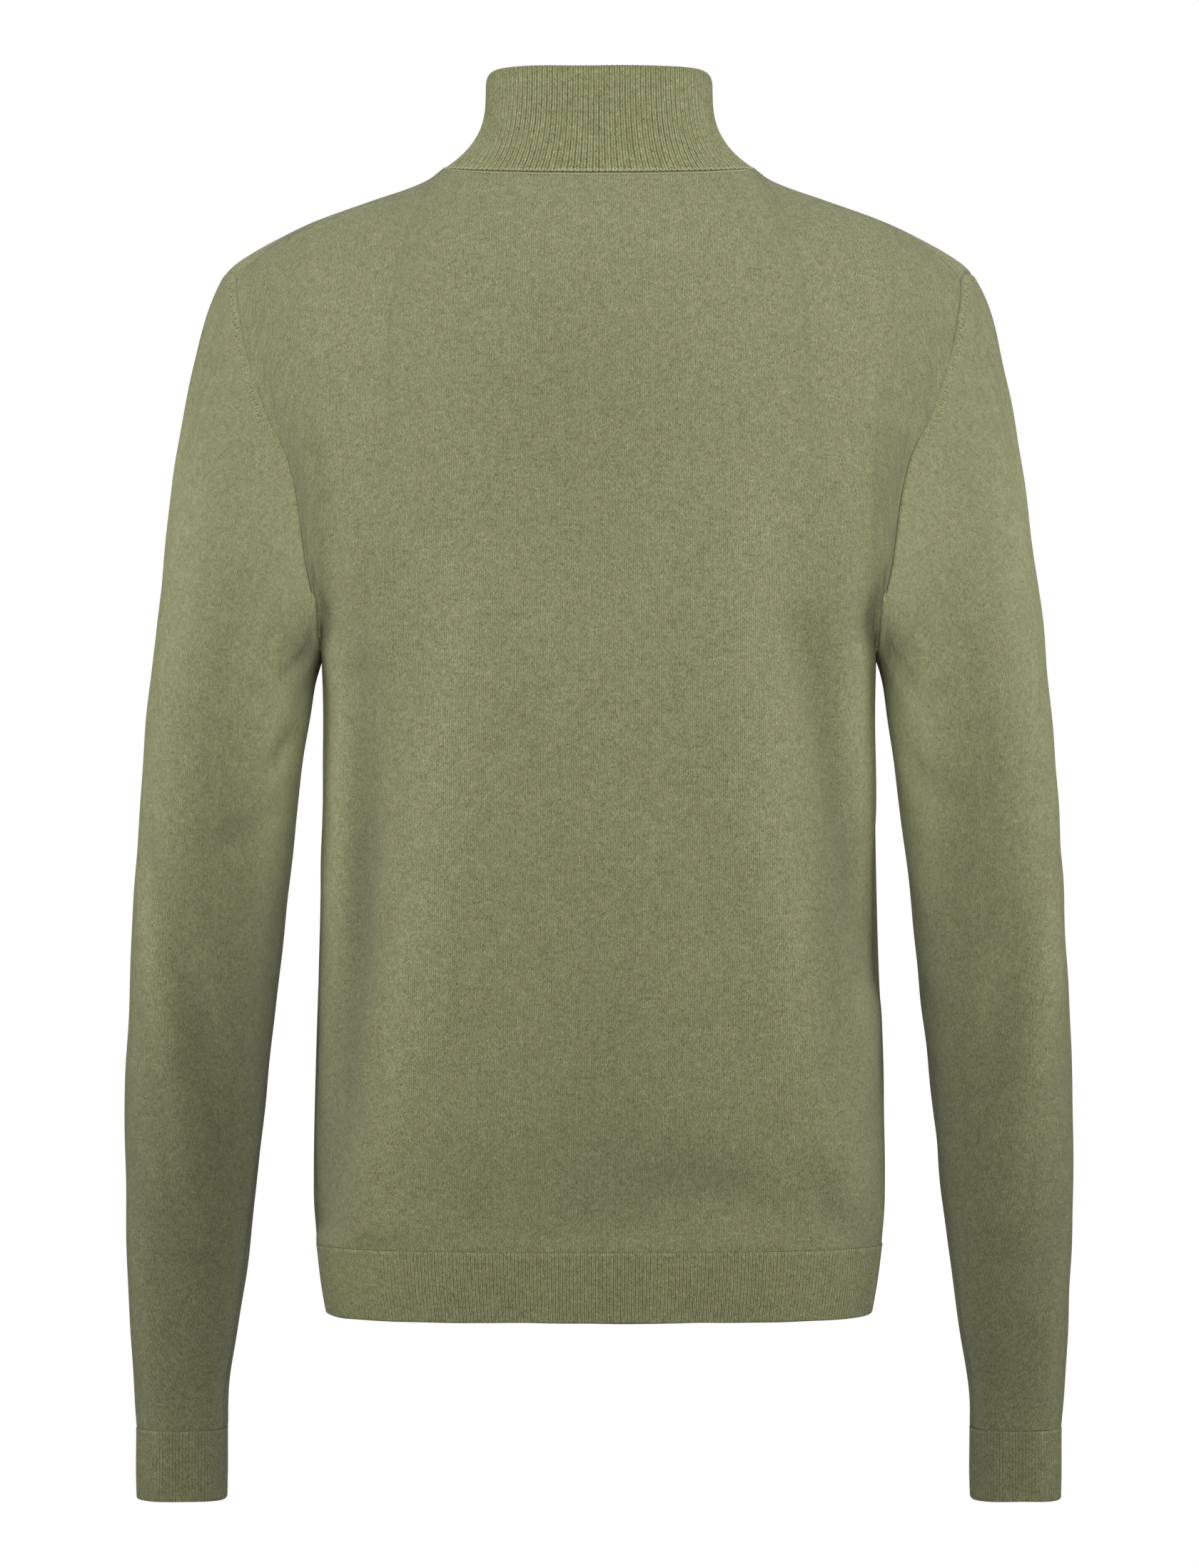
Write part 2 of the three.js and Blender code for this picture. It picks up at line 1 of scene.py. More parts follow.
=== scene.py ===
"""Turtleneck sweater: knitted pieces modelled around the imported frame, at their real size.

Metres, in the frame's axes: +Z up, the back towards -Y, the front towards +Y, +X the wearer's right.
The origin is midway between the two neck points. Every piece is a grid of cloth, laid on the form
that the sweater has when it is filled out, then given its folds, its sunk seams and its thickness.
"""

import enum
import logging
import math
from dataclasses import dataclass, field, replace
from typing import Callable, NamedTuple

import bmesh
import bpy
import numpy as np
from mathutils import Matrix, Vector


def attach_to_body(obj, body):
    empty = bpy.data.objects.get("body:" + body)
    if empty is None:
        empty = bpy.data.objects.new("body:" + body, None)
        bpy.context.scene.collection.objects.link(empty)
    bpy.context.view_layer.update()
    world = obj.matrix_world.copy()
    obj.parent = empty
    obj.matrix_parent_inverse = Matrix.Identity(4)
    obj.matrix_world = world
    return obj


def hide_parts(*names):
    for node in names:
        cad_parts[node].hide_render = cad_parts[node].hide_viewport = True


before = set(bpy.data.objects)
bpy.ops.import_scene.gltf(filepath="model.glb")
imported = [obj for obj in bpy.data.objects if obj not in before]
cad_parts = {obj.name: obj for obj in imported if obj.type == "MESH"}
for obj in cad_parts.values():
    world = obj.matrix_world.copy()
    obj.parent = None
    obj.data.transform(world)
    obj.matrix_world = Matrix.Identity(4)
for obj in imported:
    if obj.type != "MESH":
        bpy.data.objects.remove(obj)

LOG = logging.getLogger("sweater")
RIGHT_ANGLE = math.pi / 2
TINY = 1e-12
WELD = 1e-6
Grid = np.ndarray


class Face(enum.Enum):
    """The two faces of the body."""

    BACK = "back"
    FRONT = "front"


class Side(enum.Enum):
    """The wearer's two sides, as the sign of X."""

    LEFT = -1
    RIGHT = 1


# ------------------------------------------------------------------------------ tables of sizes


class BodyRow(NamedTuple):
    """A level section of the body: half its width, and how far its back and front stand out."""

    z: float
    half: float
    back: float
    front: float


class RidgeRow(NamedTuple):
    """A point of the shoulder's ridge."""

    x: float
    z: float


class ArmholeRow(NamedTuple):
    """Where the panels end at the armhole, and the body's half width if it ran on."""

    z: float
    back: float
    front: float
    body: float


class SleeveRow(NamedTuple):
    """A level section of the sleeve: its outer and inner edges, half depth and forward hang."""

    z: float
    outer: float
    inner: float
    depth: float
    forward: float


class SeamRow(NamedTuple):
    """How plainly the armhole and side seams show at a height, from 0 to 1, as a groove and as painted
    shade.
    """

    z: float
    strength: float


class BrushedRow(NamedTuple):
    """A patch where wear has raised the fibres over the stitches: its middle and its reach."""

    x: float
    z: float
    wide: float
    high: float


class PaintedLightRow(NamedTuple):
    """A patch of painted light where its gain is above 0, and of painted shade where it is below:
    middle, reach and gain.
    """

    x: float
    z: float
    wide: float
    high: float
    gain: float


class FoldRow(NamedTuple):
    """A soft fold: where it starts, bows through and ends in the XZ plane, its spread and lift."""

    x0: float
    z0: float
    x1: float
    z1: float
    x2: float
    z2: float
    spread: float
    lift: float


BODY = (
    BodyRow(z=-0.273, half=0.1545, back=0.110, front=0.114),
    BodyRow(z=-0.350, half=0.1547, back=0.1065, front=0.112),
    BodyRow(z=-0.426, half=0.1562, back=0.1040, front=0.108),
    BodyRow(z=-0.505, half=0.1588, back=0.1028, front=0.106),
    BodyRow(z=-0.575, half=0.1599, back=0.1028, front=0.105),
    BodyRow(z=-0.601, half=0.1580, back=0.1026, front=0.103),
)
HEM = (
    BodyRow(z=-0.601, half=0.1580, back=0.1026, front=0.103),
    BodyRow(z=-0.622, half=0.1556, back=0.1022, front=0.102),
    BodyRow(z=-0.640, half=0.1526, back=0.1010, front=0.100),
)
RIDGE = (
    RidgeRow(x=0.087, z=0.0),
    RidgeRow(x=0.095, z=-0.0062),
    RidgeRow(x=0.108, z=-0.0118),
    RidgeRow(x=0.127, z=-0.0182),
    RidgeRow(x=0.159, z=-0.0298),
    RidgeRow(x=0.184, z=-0.0418),
    RidgeRow(x=0.203, z=-0.0536),
    RidgeRow(x=0.2098, z=-0.0596),
)
ARMHOLE = (
    ArmholeRow(z=-0.273, back=0.1545, front=0.1545, body=0.1545),
    ArmholeRow(z=-0.262, back=0.1549, front=0.1529, body=0.1654),
    ArmholeRow(z=-0.250, back=0.1558, front=0.1518, body=0.1755),
    ArmholeRow(z=-0.224, back=0.1612, front=0.1536, body=0.1935),
    ArmholeRow(z=-0.188, back=0.1662, front=0.1598, body=0.2075),
    ArmholeRow(z=-0.164, back=0.1722, front=0.1674, body=0.2135),
    ArmholeRow(z=-0.142, back=0.1830, front=0.1786, body=0.2195),
    ArmholeRow(z=-0.112, back=0.1934, front=0.1916, body=0.2285),
    ArmholeRow(z=-0.080, back=0.2005, front=0.2042, body=0.2380),
    ArmholeRow(z=-0.0662, back=0.2018, front=0.2084, body=0.2440),
    ArmholeRow(z=-0.0596, back=0.2018, front=0.2098, body=0.2470),
)
SLEEVE = (
    SleeveRow(z=-0.300, outer=0.2528, inner=0.1610, depth=0.0650, forward=0.002),
    SleeveRow(z=-0.354, outer=0.2570, inner=0.1687, depth=0.0600, forward=0.003),
    SleeveRow(z=-0.414, outer=0.2609, inner=0.1754, depth=0.0555, forward=0.005),
    SleeveRow(z=-0.486, outer=0.2643, inner=0.1832, depth=0.0510, forward=0.009),
    SleeveRow(z=-0.558, outer=0.2662, inner=0.1910, depth=0.0460, forward=0.015),
    SleeveRow(z=-0.618, outer=0.2652, inner=0.1986, depth=0.0420, forward=0.021),
    SleeveRow(z=-0.654, outer=0.2639, inner=0.2036, depth=0.0390, forward=0.025),
    SleeveRow(z=-0.684, outer=0.2622, inner=0.2082, depth=0.0350, forward=0.028),
    SleeveRow(z=-0.7075, outer=0.2608, inner=0.2096, depth=0.0325, forward=0.030),
)
CUFF = (
    SleeveRow(z=-0.7075, outer=0.2608, inner=0.2096, depth=0.0325, forward=0.030),
    SleeveRow(z=-0.730, outer=0.2611, inner=0.2096, depth=0.0320, forward=0.032),
    SleeveRow(z=-0.748, outer=0.2610, inner=0.2100, depth=0.0315, forward=0.034),
)

# The left side keeps this share of the seams' groove and painted shade.
LEFT_SEAM_SHARE = 0.4
SIDE_SEAM = (
    SeamRow(z=-0.055, strength=1.00),
    SeamRow(z=-0.095, strength=0.80),
    SeamRow(z=-0.112, strength=0.20),
    SeamRow(z=-0.145, strength=0.18),
    SeamRow(z=-0.168, strength=0.60),
    SeamRow(z=-0.232, strength=0.90),
    SeamRow(z=-0.252, strength=0.40),
    SeamRow(z=-0.300, strength=0.25),
    SeamRow(z=-0.601, strength=0.30),
)

BRUSHED = (
    BrushedRow(x=-0.128, z=-0.585, wide=0.016, high=0.032),
    BrushedRow(x=-0.118, z=-0.500, wide=0.011, high=0.060),
    BrushedRow(x=-0.142, z=-0.622, wide=0.018, high=0.010),
    BrushedRow(x=-0.064, z=0.032, wide=0.011, high=0.026),
    BrushedRow(x=0.066, z=0.032, wide=0.009, high=0.024),
)

# Painted light and shade on the cloth's colour: lighter near the armpits and on the outer sleeves,
# darker on the lower sleeves, beside the body's sides and in two broad areas of the back.
PAINTED_LIGHT_AND_SHADE = (
    PaintedLightRow(x=-0.170, z=-0.325, wide=0.026, high=0.100, gain=0.85),
    PaintedLightRow(x=0.170, z=-0.325, wide=0.026, high=0.105, gain=0.85),
    PaintedLightRow(x=-0.266, z=-0.300, wide=0.028, high=0.160, gain=0.48),
    PaintedLightRow(x=0.266, z=-0.290, wide=0.028, high=0.160, gain=0.48),
    PaintedLightRow(x=-0.240, z=-0.180, wide=0.020, high=0.080, gain=0.30),
    PaintedLightRow(x=0.240, z=-0.180, wide=0.020, high=0.080, gain=0.30),
    PaintedLightRow(x=-0.154, z=-0.370, wide=0.010, high=0.090, gain=0.45),
    PaintedLightRow(x=0.155, z=-0.350, wide=0.010, high=0.075, gain=0.55),
    PaintedLightRow(x=-0.132, z=-0.400, wide=0.010, high=0.110, gain=-0.20),
    PaintedLightRow(x=0.128, z=-0.420, wide=0.012, high=0.110, gain=-0.18),
    PaintedLightRow(x=-0.218, z=-0.590, wide=0.034, high=0.130, gain=-0.28),
    PaintedLightRow(x=0.222, z=-0.640, wide=0.034, high=0.110, gain=-0.18),
    PaintedLightRow(x=-0.010, z=-0.130, wide=0.100, high=0.095, gain=-0.15),
    PaintedLightRow(x=0.000, z=-0.560, wide=0.085, high=0.050, gain=-0.13),
)

BACK_FOLDS = (
    FoldRow(-0.076, -0.240, -0.092, -0.420, -0.124, -0.596, 0.018, 0.0060),
    FoldRow(-0.130, -0.290, -0.130, -0.420, -0.154, -0.590, 0.012, -0.0070),
    FoldRow(0.084, -0.200, 0.084, -0.390, 0.132, -0.570, 0.018, 0.0058),
    FoldRow(0.110, -0.262, 0.138, -0.350, 0.152, -0.450, 0.012, -0.0070),
    FoldRow(0.030, -0.570, 0.066, -0.560, 0.100, -0.585, 0.017, -0.0036),
    FoldRow(0.118, -0.560, 0.128, -0.575, 0.133, -0.598, 0.009, -0.0036),
    FoldRow(-0.010, -0.420, 0.004, -0.500, 0.006, -0.620, 0.040, -0.0030),
    FoldRow(-0.062, -0.560, -0.068, -0.580, -0.066, -0.598, 0.010, -0.0020),
    FoldRow(0.100, -0.040, 0.112, -0.050, 0.118, -0.062, 0.004, 0.0016),
    FoldRow(0.035, -0.0072, 0.004, -0.0085, -0.028, -0.0072, 0.0012, -0.0005),
    FoldRow(-0.152, -0.170, -0.144, -0.215, -0.150, -0.262, 0.009, -0.0036),
    FoldRow(0.154, -0.160, 0.146, -0.210, 0.149, -0.262, 0.009, -0.0036),
)
FRONT_FOLDS = (
    FoldRow(0.090, -0.280, 0.112, -0.400, 0.134, -0.575, 0.017, 0.0025),
    FoldRow(0.140, -0.320, 0.150, -0.430, 0.149, -0.580, 0.011, -0.0030),
    FoldRow(-0.070, -0.262, -0.082, -0.400, -0.130, -0.560, 0.018, 0.0024),
    FoldRow(-0.114, -0.250, -0.142, -0.330, -0.148, -0.540, 0.012, -0.0030),
    FoldRow(-0.028, -0.566, -0.060, -0.560, -0.096, -0.584, 0.017, -0.0022),
    FoldRow(0.058, -0.560, 0.066, -0.580, 0.064, -0.598, 0.010, -0.0014),
    FoldRow(0.150, -0.170, 0.140, -0.215, 0.144, -0.262, 0.010, -0.0022),
    FoldRow(-0.150, -0.180, -0.140, -0.215, -0.144, -0.262, 0.010, -0.0020),
)
LEFT_SLEEVE_FOLDS = (
    FoldRow(-0.158, -0.268, -0.164, -0.278, -0.176, -0.288, 0.0040, -0.0034),
    FoldRow(-0.165, -0.314, -0.172, -0.326, -0.184, -0.338, 0.0050, -0.0034),
    FoldRow(-0.258, -0.400, -0.240, -0.480, -0.220, -0.600, 0.009, 0.0034),
    FoldRow(-0.252, -0.380, -0.226, -0.450, -0.208, -0.560, 0.012, -0.0036),
    FoldRow(-0.180, -0.360, -0.196, -0.375, -0.216, -0.380, 0.008, -0.0024),
    FoldRow(-0.262, -0.560, -0.248, -0.600, -0.238, -0.660, 0.010, -0.0022),
)
RIGHT_SLEEVE_FOLDS = (
    FoldRow(0.160, -0.268, 0.168, -0.282, 0.176, -0.296, 0.0050, -0.0026),
    FoldRow(0.168, -0.330, 0.180, -0.345, 0.196, -0.356, 0.009, -0.0026),
    FoldRow(0.256, -0.420, 0.244, -0.500, 0.226, -0.590, 0.011, 0.0026),
    FoldRow(0.246, -0.390, 0.222, -0.470, 0.208, -0.560, 0.013, -0.0030),
    FoldRow(0.262, -0.580, 0.250, -0.620, 0.238, -0.670, 0.010, -0.0020),
)


# ------------------------------------------------------------------------------ curves and shapes


class Profile:
    """Smooth curves through the columns of a short table."""

    def __init__(self, rows: tuple, key: str) -> None:
        """Sorts the rows by their key.

        Args:
            rows: The table, a tuple of named rows.
            key: The column that the others are read against.
        """
        ordered = sorted(rows, key=lambda row: getattr(row, key))
        self.keys = np.array([getattr(row, key) for row in ordered])
        self.columns = {
            name: np.array([getattr(row, name) for row in ordered]) for name in ordered[0]._fields
        }

    def at(self, column: str, places: Grid | float) -> Grid:
        """Reads a column on its smooth curve, which runs on straight past both ends.

        Args:
            column: The column's name.
            places: Where to read it.

        Returns:
            The values, in the shape of places.
        """
        keys, values = self.keys, self.columns[column]
        last = len(keys) - 1
        ahead = np.minimum(np.arange(last + 1) + 1, last)
        behind = np.maximum(np.arange(last + 1) - 1, 0)
        slopes = (values[ahead] - values[behind]) / (keys[ahead] - keys[behind])
        places = np.asarray(places, float)
        i = np.clip(np.searchsorted(keys, places) - 1, 0, last - 1)
        span = keys[i + 1] - keys[i]
        t = (places - keys[i]) / span
        inside = np.clip(t, 0.0, 1.0)
        ease = inside * inside * (3 - 2 * inside)
        bend = slopes[i] * inside * (1 - inside) ** 2 - slopes[i + 1] * inside**2 * (1 - inside)
        value = values[i] * (1 - ease) + values[i + 1] * ease + bend * span
        value += np.minimum(t, 0) * span * slopes[i] + np.maximum(t - 1, 0) * span * slopes[i + 1]
        return value


def signed_power(value: Grid, power: float) -> Grid:
    """Raises the size of a value to a power and keeps its sign."""
    return np.sign(value) * np.abs(value) ** power


def smooth_step(low: float, high: float, value: Grid) -> Grid:
    """Eases from 0 at low to 1 at high."""
    t = np.clip((value - low) / (high - low), 0.0, 1.0)
    return t * t * (3 - 2 * t)


def closeness(distance: Grid, width: float) -> Grid:
    """Gives how close cloth lies to a line: 1 on it, falling away over the width."""
    return np.exp(-((distance / width) ** 2))


def grid_normals(points: Grid, ring: bool) -> Grid:
    """Finds the unit normals of a grid of points.

    Args:
        points: The grid, rows by columns by 3.
        ring: True where the last column repeats the first.

    Returns:
        The normals, along the cross product of the row direction and the column direction.
    """
    along = np.gradient(points, axis=1)
    up = np.gradient(points, axis=0)
    if ring:
        wrap = (points[:, 1] - points[:, -2]) / 2
        along[:, 0] = wrap
        along[:, -1] = wrap
    normals = np.cross(along, up)
    return normals / np.maximum(np.linalg.norm(normals, axis=2, keepdims=True), TINY)


def run_lengths(points: Grid, axis: int) -> Grid:
    """Adds up the length of cloth along the lines of a grid.

    Args:
        points: The grid, rows by columns by 3.
        axis: 1 along the rows, 0 along the columns.

    Returns:
        How far each point is from the start of its line.
    """
    steps = np.linalg.norm(np.diff(points, axis=axis), axis=2)
    pad = [(0, 0), (0, 0)]
    pad[axis] = (1, 0)
    return np.cumsum(np.pad(steps, pad), axis=axis)


def path_lengths(places: Grid) -> Grid:
    """Adds up the length along a line of places."""
    return np.concatenate([[0], np.cumsum(np.linalg.norm(np.diff(places, axis=0), axis=1))])


@dataclass(frozen=True)
class Unevenness:
    """The slight unevenness of knitted cloth that isn't pulled flat: waves that run mostly across."""

    height: float = 0.00035
    shortest: float = 0.028
    longest: float = 0.110
    waves: int = 26
    spread: tuple[float, float, float] = (1.0, 1.0, 0.55)
    seed: int = 7

    def at(self, points: Grid) -> Grid:
        """Sums seeded waves at each point.

        Args:
            points: Points with their coordinates on the last axis.

        Returns:
            The height of the cloth above its plain form.
        """
        chance = np.random.default_rng(self.seed)
        total = np.zeros(points.shape[:-1])
        for _ in range(self.waves):
            direction = chance.normal(size=3) * self.spread
            direction /= np.linalg.norm(direction)
            length = math.exp(chance.uniform(math.log(self.shortest), math.log(self.longest)))
            phase = chance.uniform(0, 2 * math.pi)
            total += np.sin(points @ direction * (2 * math.pi / length) + phase)
        return total * self.height / math.sqrt(self.waves / 2)


FOLD_STEPS = 14
# How strongly a fold's lift turns into painted light and shade on the colour.
FOLD_PAINTED_LIGHT = 20.0
TAPER_START = 0.12
TAPER_SPAN = 0.76
TAPER_POWER = 0.8


def fold_heights(folds: tuple[FoldRow, ...], x: Grid, z: Grid) -> Grid:
    """Adds up the soft folds of a piece.

    Args:
        folds: The folds, each a short bowed run in the XZ plane.
        x: Where the cloth lies across.
        z: Where it lies in height.

    Returns:
        How far the folds lift the cloth, or sink it where it is negative.
    """
    total = np.zeros_like(x)
    for fold in folds:
        near = np.full(x.shape, np.inf)
        share = np.zeros_like(x)
        for step in range(FOLD_STEPS + 1):
            t = step / FOLD_STEPS
            px = (1 - t) ** 2 * fold.x0 + 2 * t * (1 - t) * fold.x1 + t * t * fold.x2
            pz = (1 - t) ** 2 * fold.z0 + 2 * t * (1 - t) * fold.z1 + t * t * fold.z2
            if step:
                run_x, run_z = px - last_x, pz - last_z
                along = ((x - last_x) * run_x + (z - last_z) * run_z) / (run_x**2 + run_z**2)
                along = np.clip(along, 0, 1)
                off = np.hypot(x - last_x - along * run_x, z - last_z - along * run_z)
                closer = off < near
                near = np.where(closer, off, near)
                share = np.where(closer, (step - 1 + along) / FOLD_STEPS, share)
            last_x, last_z = px, pz
        taper = np.sin(np.pi * np.clip(TAPER_START + TAPER_SPAN * share, 0, 1)) ** TAPER_POWER
        total += fold.lift * taper * closeness(near, fold.spread)
    return total


SEAM_CURVE = Profile(SIDE_SEAM, "z")
CALM_FROM = 0.066
CALM_TO = 0.085


def seam_strength(x: Grid, z: Grid) -> Grid:
    """Gives how plainly the armhole and side seams show at each point, from 0 to 1, as a groove and as
    painted shade.
    """
    strength = np.clip(SEAM_CURVE.at("strength", z), 0, 1)
    return strength * np.where(x < 0, LEFT_SEAM_SHARE, 1)


def neck_point_calm(x: Grid) -> Grid:
    """Gives how much of the neck seam's relief is left: all in the middle, none at a neck point."""
    return 1 - smooth_step(CALM_FROM, CALM_TO, np.abs(x))


def fold_painted_light(lift: Grid) -> Grid:
    """Gives the folds' painted light and shade: lighter on a fold's back, darker in its trough."""
    return 1 + FOLD_PAINTED_LIGHT * lift


def patches(rows: tuple, points: Grid) -> list[Grid]:
    """Gives how far each patch of a table reaches at each point, from 0 to 1."""
    x, z = points[..., 0], points[..., 2]
    return [np.exp(-(((x - row.x) / row.wide) ** 2) - ((z - row.z) / row.high) ** 2) for row in rows]


def painted_light_and_shade(points: Grid) -> Grid:
    """Gives the painted light and shade at each point, a factor on the colour that is 1 where none is
    painted.
    """
    return 1 + sum(row.gain * share for row, share in zip(PAINTED_LIGHT_AND_SHADE, patches(PAINTED_LIGHT_AND_SHADE, points)))


def brushed(points: Grid) -> Grid:
    """Gives how far the fibres hide the stitches at each point, from 0 to 1."""
    return np.minimum(sum(patches(BRUSHED, points)), 1)


# ------------------------------------------------------------------------------ the sweater's form

BODY_CURVES = Profile(BODY, "z")
HEM_CURVES = Profile(HEM, "z")
RIDGE_CURVE = Profile(RIDGE, "x")
ARMHOLE_CURVES = Profile(ARMHOLE, "z")
SLEEVE_CURVES = Profile(SLEEVE, "z")
CUFF_CURVES = Profile(CUFF, "z")


@dataclass(frozen=True)
class BodyForm:
    """The body: a squared oval tube below the armpits, arched in to the shoulders above them."""

    squareness: float = 3.0
    back_roundness: float = 2.0
    front_roundness: float = 1.9
    armpit_z: float = -0.273
    hem_seam_z: float = -0.601
    neck_point_x: float = 0.087
    neck_crown: float = 0.036
    back_neck_drop: float = 0.0066
    front_neck_drop: float = 0.036
    neck_share: float = 12 / 22
    roll_end_x: float = 0.150
    roll_at_tip: float = math.radians(18.5)
    roll_ease: float = 1.3
    roll_share: float = 1 / 7
    edge_passes: int = 6
    just_inside: float = 0.99999

    @property
    def tip_x(self) -> float:
        """Where the shoulder seam ends at the armhole."""
        return ARMHOLE[-1].back

    def ridge_z(self, x: Grid) -> Grid:
        """Gives the height of the shoulder's ridge, carried on over the neck opening.

        Args:
            x: Where it is read.

        Returns:
            The heights.
        """
        reach = np.abs(x)
        over_neck = self.neck_crown * (1 - (reach / self.neck_point_x) ** 2)
        outside = np.maximum(reach, self.neck_point_x)
        return np.where(reach >= self.neck_point_x, RIDGE_CURVE.at("z", outside), over_neck)

    def squared(self, share: Grid) -> Grid:
        """Gives how far a squared oval stands out at a share of its half width."""
        return (1 - np.minimum(np.abs(share), 1) ** self.squareness) ** (1 / self.squareness)

    def shoulder_point(self, face: Face, x: Grid, lift: Grid) -> Grid:
        """Places points above the armpits.

        Args:
            face: The face that the lift climbs from.
            x: Where the points lie across.
            lift: 0 at the armpits, a right angle on the ridge, more beyond it.

        Returns:
            The points, with their coordinates on a new last axis.
        """
        x, lift = np.broadcast_arrays(np.asarray(x, float), lift)
        over = lift > RIGHT_ANGLE
        back = over != (face is Face.BACK)
        angle = np.where(over, math.pi - lift, lift)
        power = np.where(back, 2 / self.back_roundness, 2 / self.front_roundness)
        rise = np.maximum(np.sin(angle), 0) ** power
        stand = np.maximum(np.cos(angle), 0) ** power
        z = self.armpit_z + (self.ridge_z(x) - self.armpit_z) * rise
        across = self.squared(x / ARMHOLE_CURVES.at("body", z))
        depth = np.where(back, -BODY[0].back, BODY[0].front) * across * stand
        return np.stack([x, depth, z], axis=-1)

    def section(self, curves: Profile, face: Face, column: Grid, z: Grid) -> Grid:
        """Places points on level sections of one face.

        Args:
            curves: The table of sections.
            face: The face.
            column: From -1 to 1 between the side seams.
            z: The heights.

        Returns:
            The points, with their coordinates on a new last axis.
        """
        angle = column * RIGHT_ANGLE
        across = signed_power(np.sin(angle), 2 / self.squareness)
        out = np.maximum(np.cos(angle), 0) ** (2 / self.squareness)
        depth = curves.at(face.value, z) * out * (-1 if face is Face.BACK else 1)
        return np.stack([curves.at("half", z) * across, depth, z], axis=-1)

    def top_x(self, column: Grid) -> Grid:
        """Gives the x along a panel's top edge: shoulder seam, neckline, shoulder seam.

        Args:
            column: From -1 to 1 along the edge.

        Returns:
            The x of each place.
        """
        reach = np.abs(column)
        neck = self.neck_point_x * np.sin(np.minimum(reach / self.neck_share, 1) * RIGHT_ANGLE)
        out = np.maximum(reach - self.neck_share, 0) / (1 - self.neck_share)
        shoulder = self.neck_point_x + (self.tip_x - self.neck_point_x) * out
        return np.sign(column) * np.where(reach <= self.neck_share, neck, shoulder)

    def top_lift(self, face: Face, x: Grid) -> Grid:
        """Gives the lift of a panel's top edge.

        Args:
            face: The panel.
            x: Where it is read.

        Returns:
            The lift of each place.
        """
        share = np.minimum(np.abs(x) / self.neck_point_x, 1)
        drop = self.back_neck_drop if face is Face.BACK else self.front_neck_drop
        roundness = self.back_roundness if face is Face.BACK else self.front_roundness
        seam_z = -drop * np.sqrt(np.maximum(1 - share**2, 0))
        rise = np.clip((seam_z - self.armpit_z) / (self.ridge_z(x) - self.armpit_z), 0, 1)
        neckline = np.arcsin(rise ** (roundness / 2))
        run = np.clip((np.abs(x) - self.roll_end_x) / (self.tip_x - self.roll_end_x), 0, 1)
        roll = self.roll_at_tip * run**self.roll_ease
        seam = RIGHT_ANGLE - roll if face is Face.BACK else RIGHT_ANGLE + roll
        return np.where(np.abs(x) < self.neck_point_x, neckline, seam)

    def armhole(self, face: Face, climb: Grid) -> tuple[Grid, Grid]:
        """Follows a panel's armhole edge.

        Args:
            face: The panel.
            climb: 0 at the underarm, 1 at the end of the shoulder seam.

        Returns:
            The x and the lift of each place.
        """
        if face is Face.BACK:
            lift = climb * (RIGHT_ANGLE - self.roll_at_tip)
        else:
            lift = np.minimum(climb / (1 - self.roll_share), 1) * RIGHT_ANGLE
        x = np.full_like(lift, getattr(ARMHOLE[0], face.value))
        for _ in range(self.edge_passes):
            x = ARMHOLE_CURVES.at(face.value, self.shoulder_point(face, x, lift)[..., 2])
        if face is Face.FRONT:
            over = np.clip((climb - 1 + self.roll_share) / self.roll_share, 0, 1)
            rolled = ARMHOLE[-1].front + (self.tip_x - ARMHOLE[-1].front) * over
            x = np.where(over > 0, rolled, x)
            lift = lift + over * self.roll_at_tip
        return x, lift

    def yoke(self, face: Face, column: Grid, climb: Grid) -> Grid:
        """Places points of a panel above the armpits.

        Args:
            face: The panel.
            column: From -1 to 1 between the armholes.
            climb: From 0 at the armpits to 1 at the top.

        Returns:
            The points, with their coordinates on a new last axis.
        """
        edge_x, edge_lift = self.armhole(face, climb)
        top_share = self.top_x(column) / self.tip_x
        section_share = signed_power(np.sin(column * RIGHT_ANGLE), 2 / self.squareness)
        x = edge_x * (section_share * (1 - climb) + top_share * climb)
        top = self.top_lift(face, self.top_x(column))
        full = self.top_lift(face, np.array(self.tip_x))
        return self.shoulder_point(face, x, edge_lift / full * top)

    def panel(self, face: Face, columns: Grid, heights: Grid) -> Grid:
        """Lays out a whole panel.

        Args:
            face: The panel.
            columns: From -1 to 1 between the sides.
            heights: 0 at the hem seam, 1 at the armpits, 2 at the top.

        Returns:
            The points, rows by columns by 3.
        """
        column, height = np.meshgrid(columns, heights)
        z = self.hem_seam_z + (self.armpit_z - self.hem_seam_z) * np.minimum(height, 1)
        low = self.section(BODY_CURVES, face, column, z)
        high = self.yoke(face, column, np.maximum(height - 1, 0))
        return np.where(height[..., None] >= 1, high, low)

    def neck_seam(self, angle: Grid) -> Grid:
        """Follows the neck seam.

        Args:
            angle: 0 at the middle of the back, a right angle at the neck point on +X.

        Returns:
            The points, with their coordinates on a new last axis.
        """
        x = self.neck_point_x * np.sin(angle)
        back = self.shoulder_point(Face.BACK, x, self.top_lift(Face.BACK, x * self.just_inside))
        front = self.shoulder_point(Face.FRONT, x, self.top_lift(Face.FRONT, x * self.just_inside))
        return np.where(np.cos(angle)[..., None] >= 0, back, front)


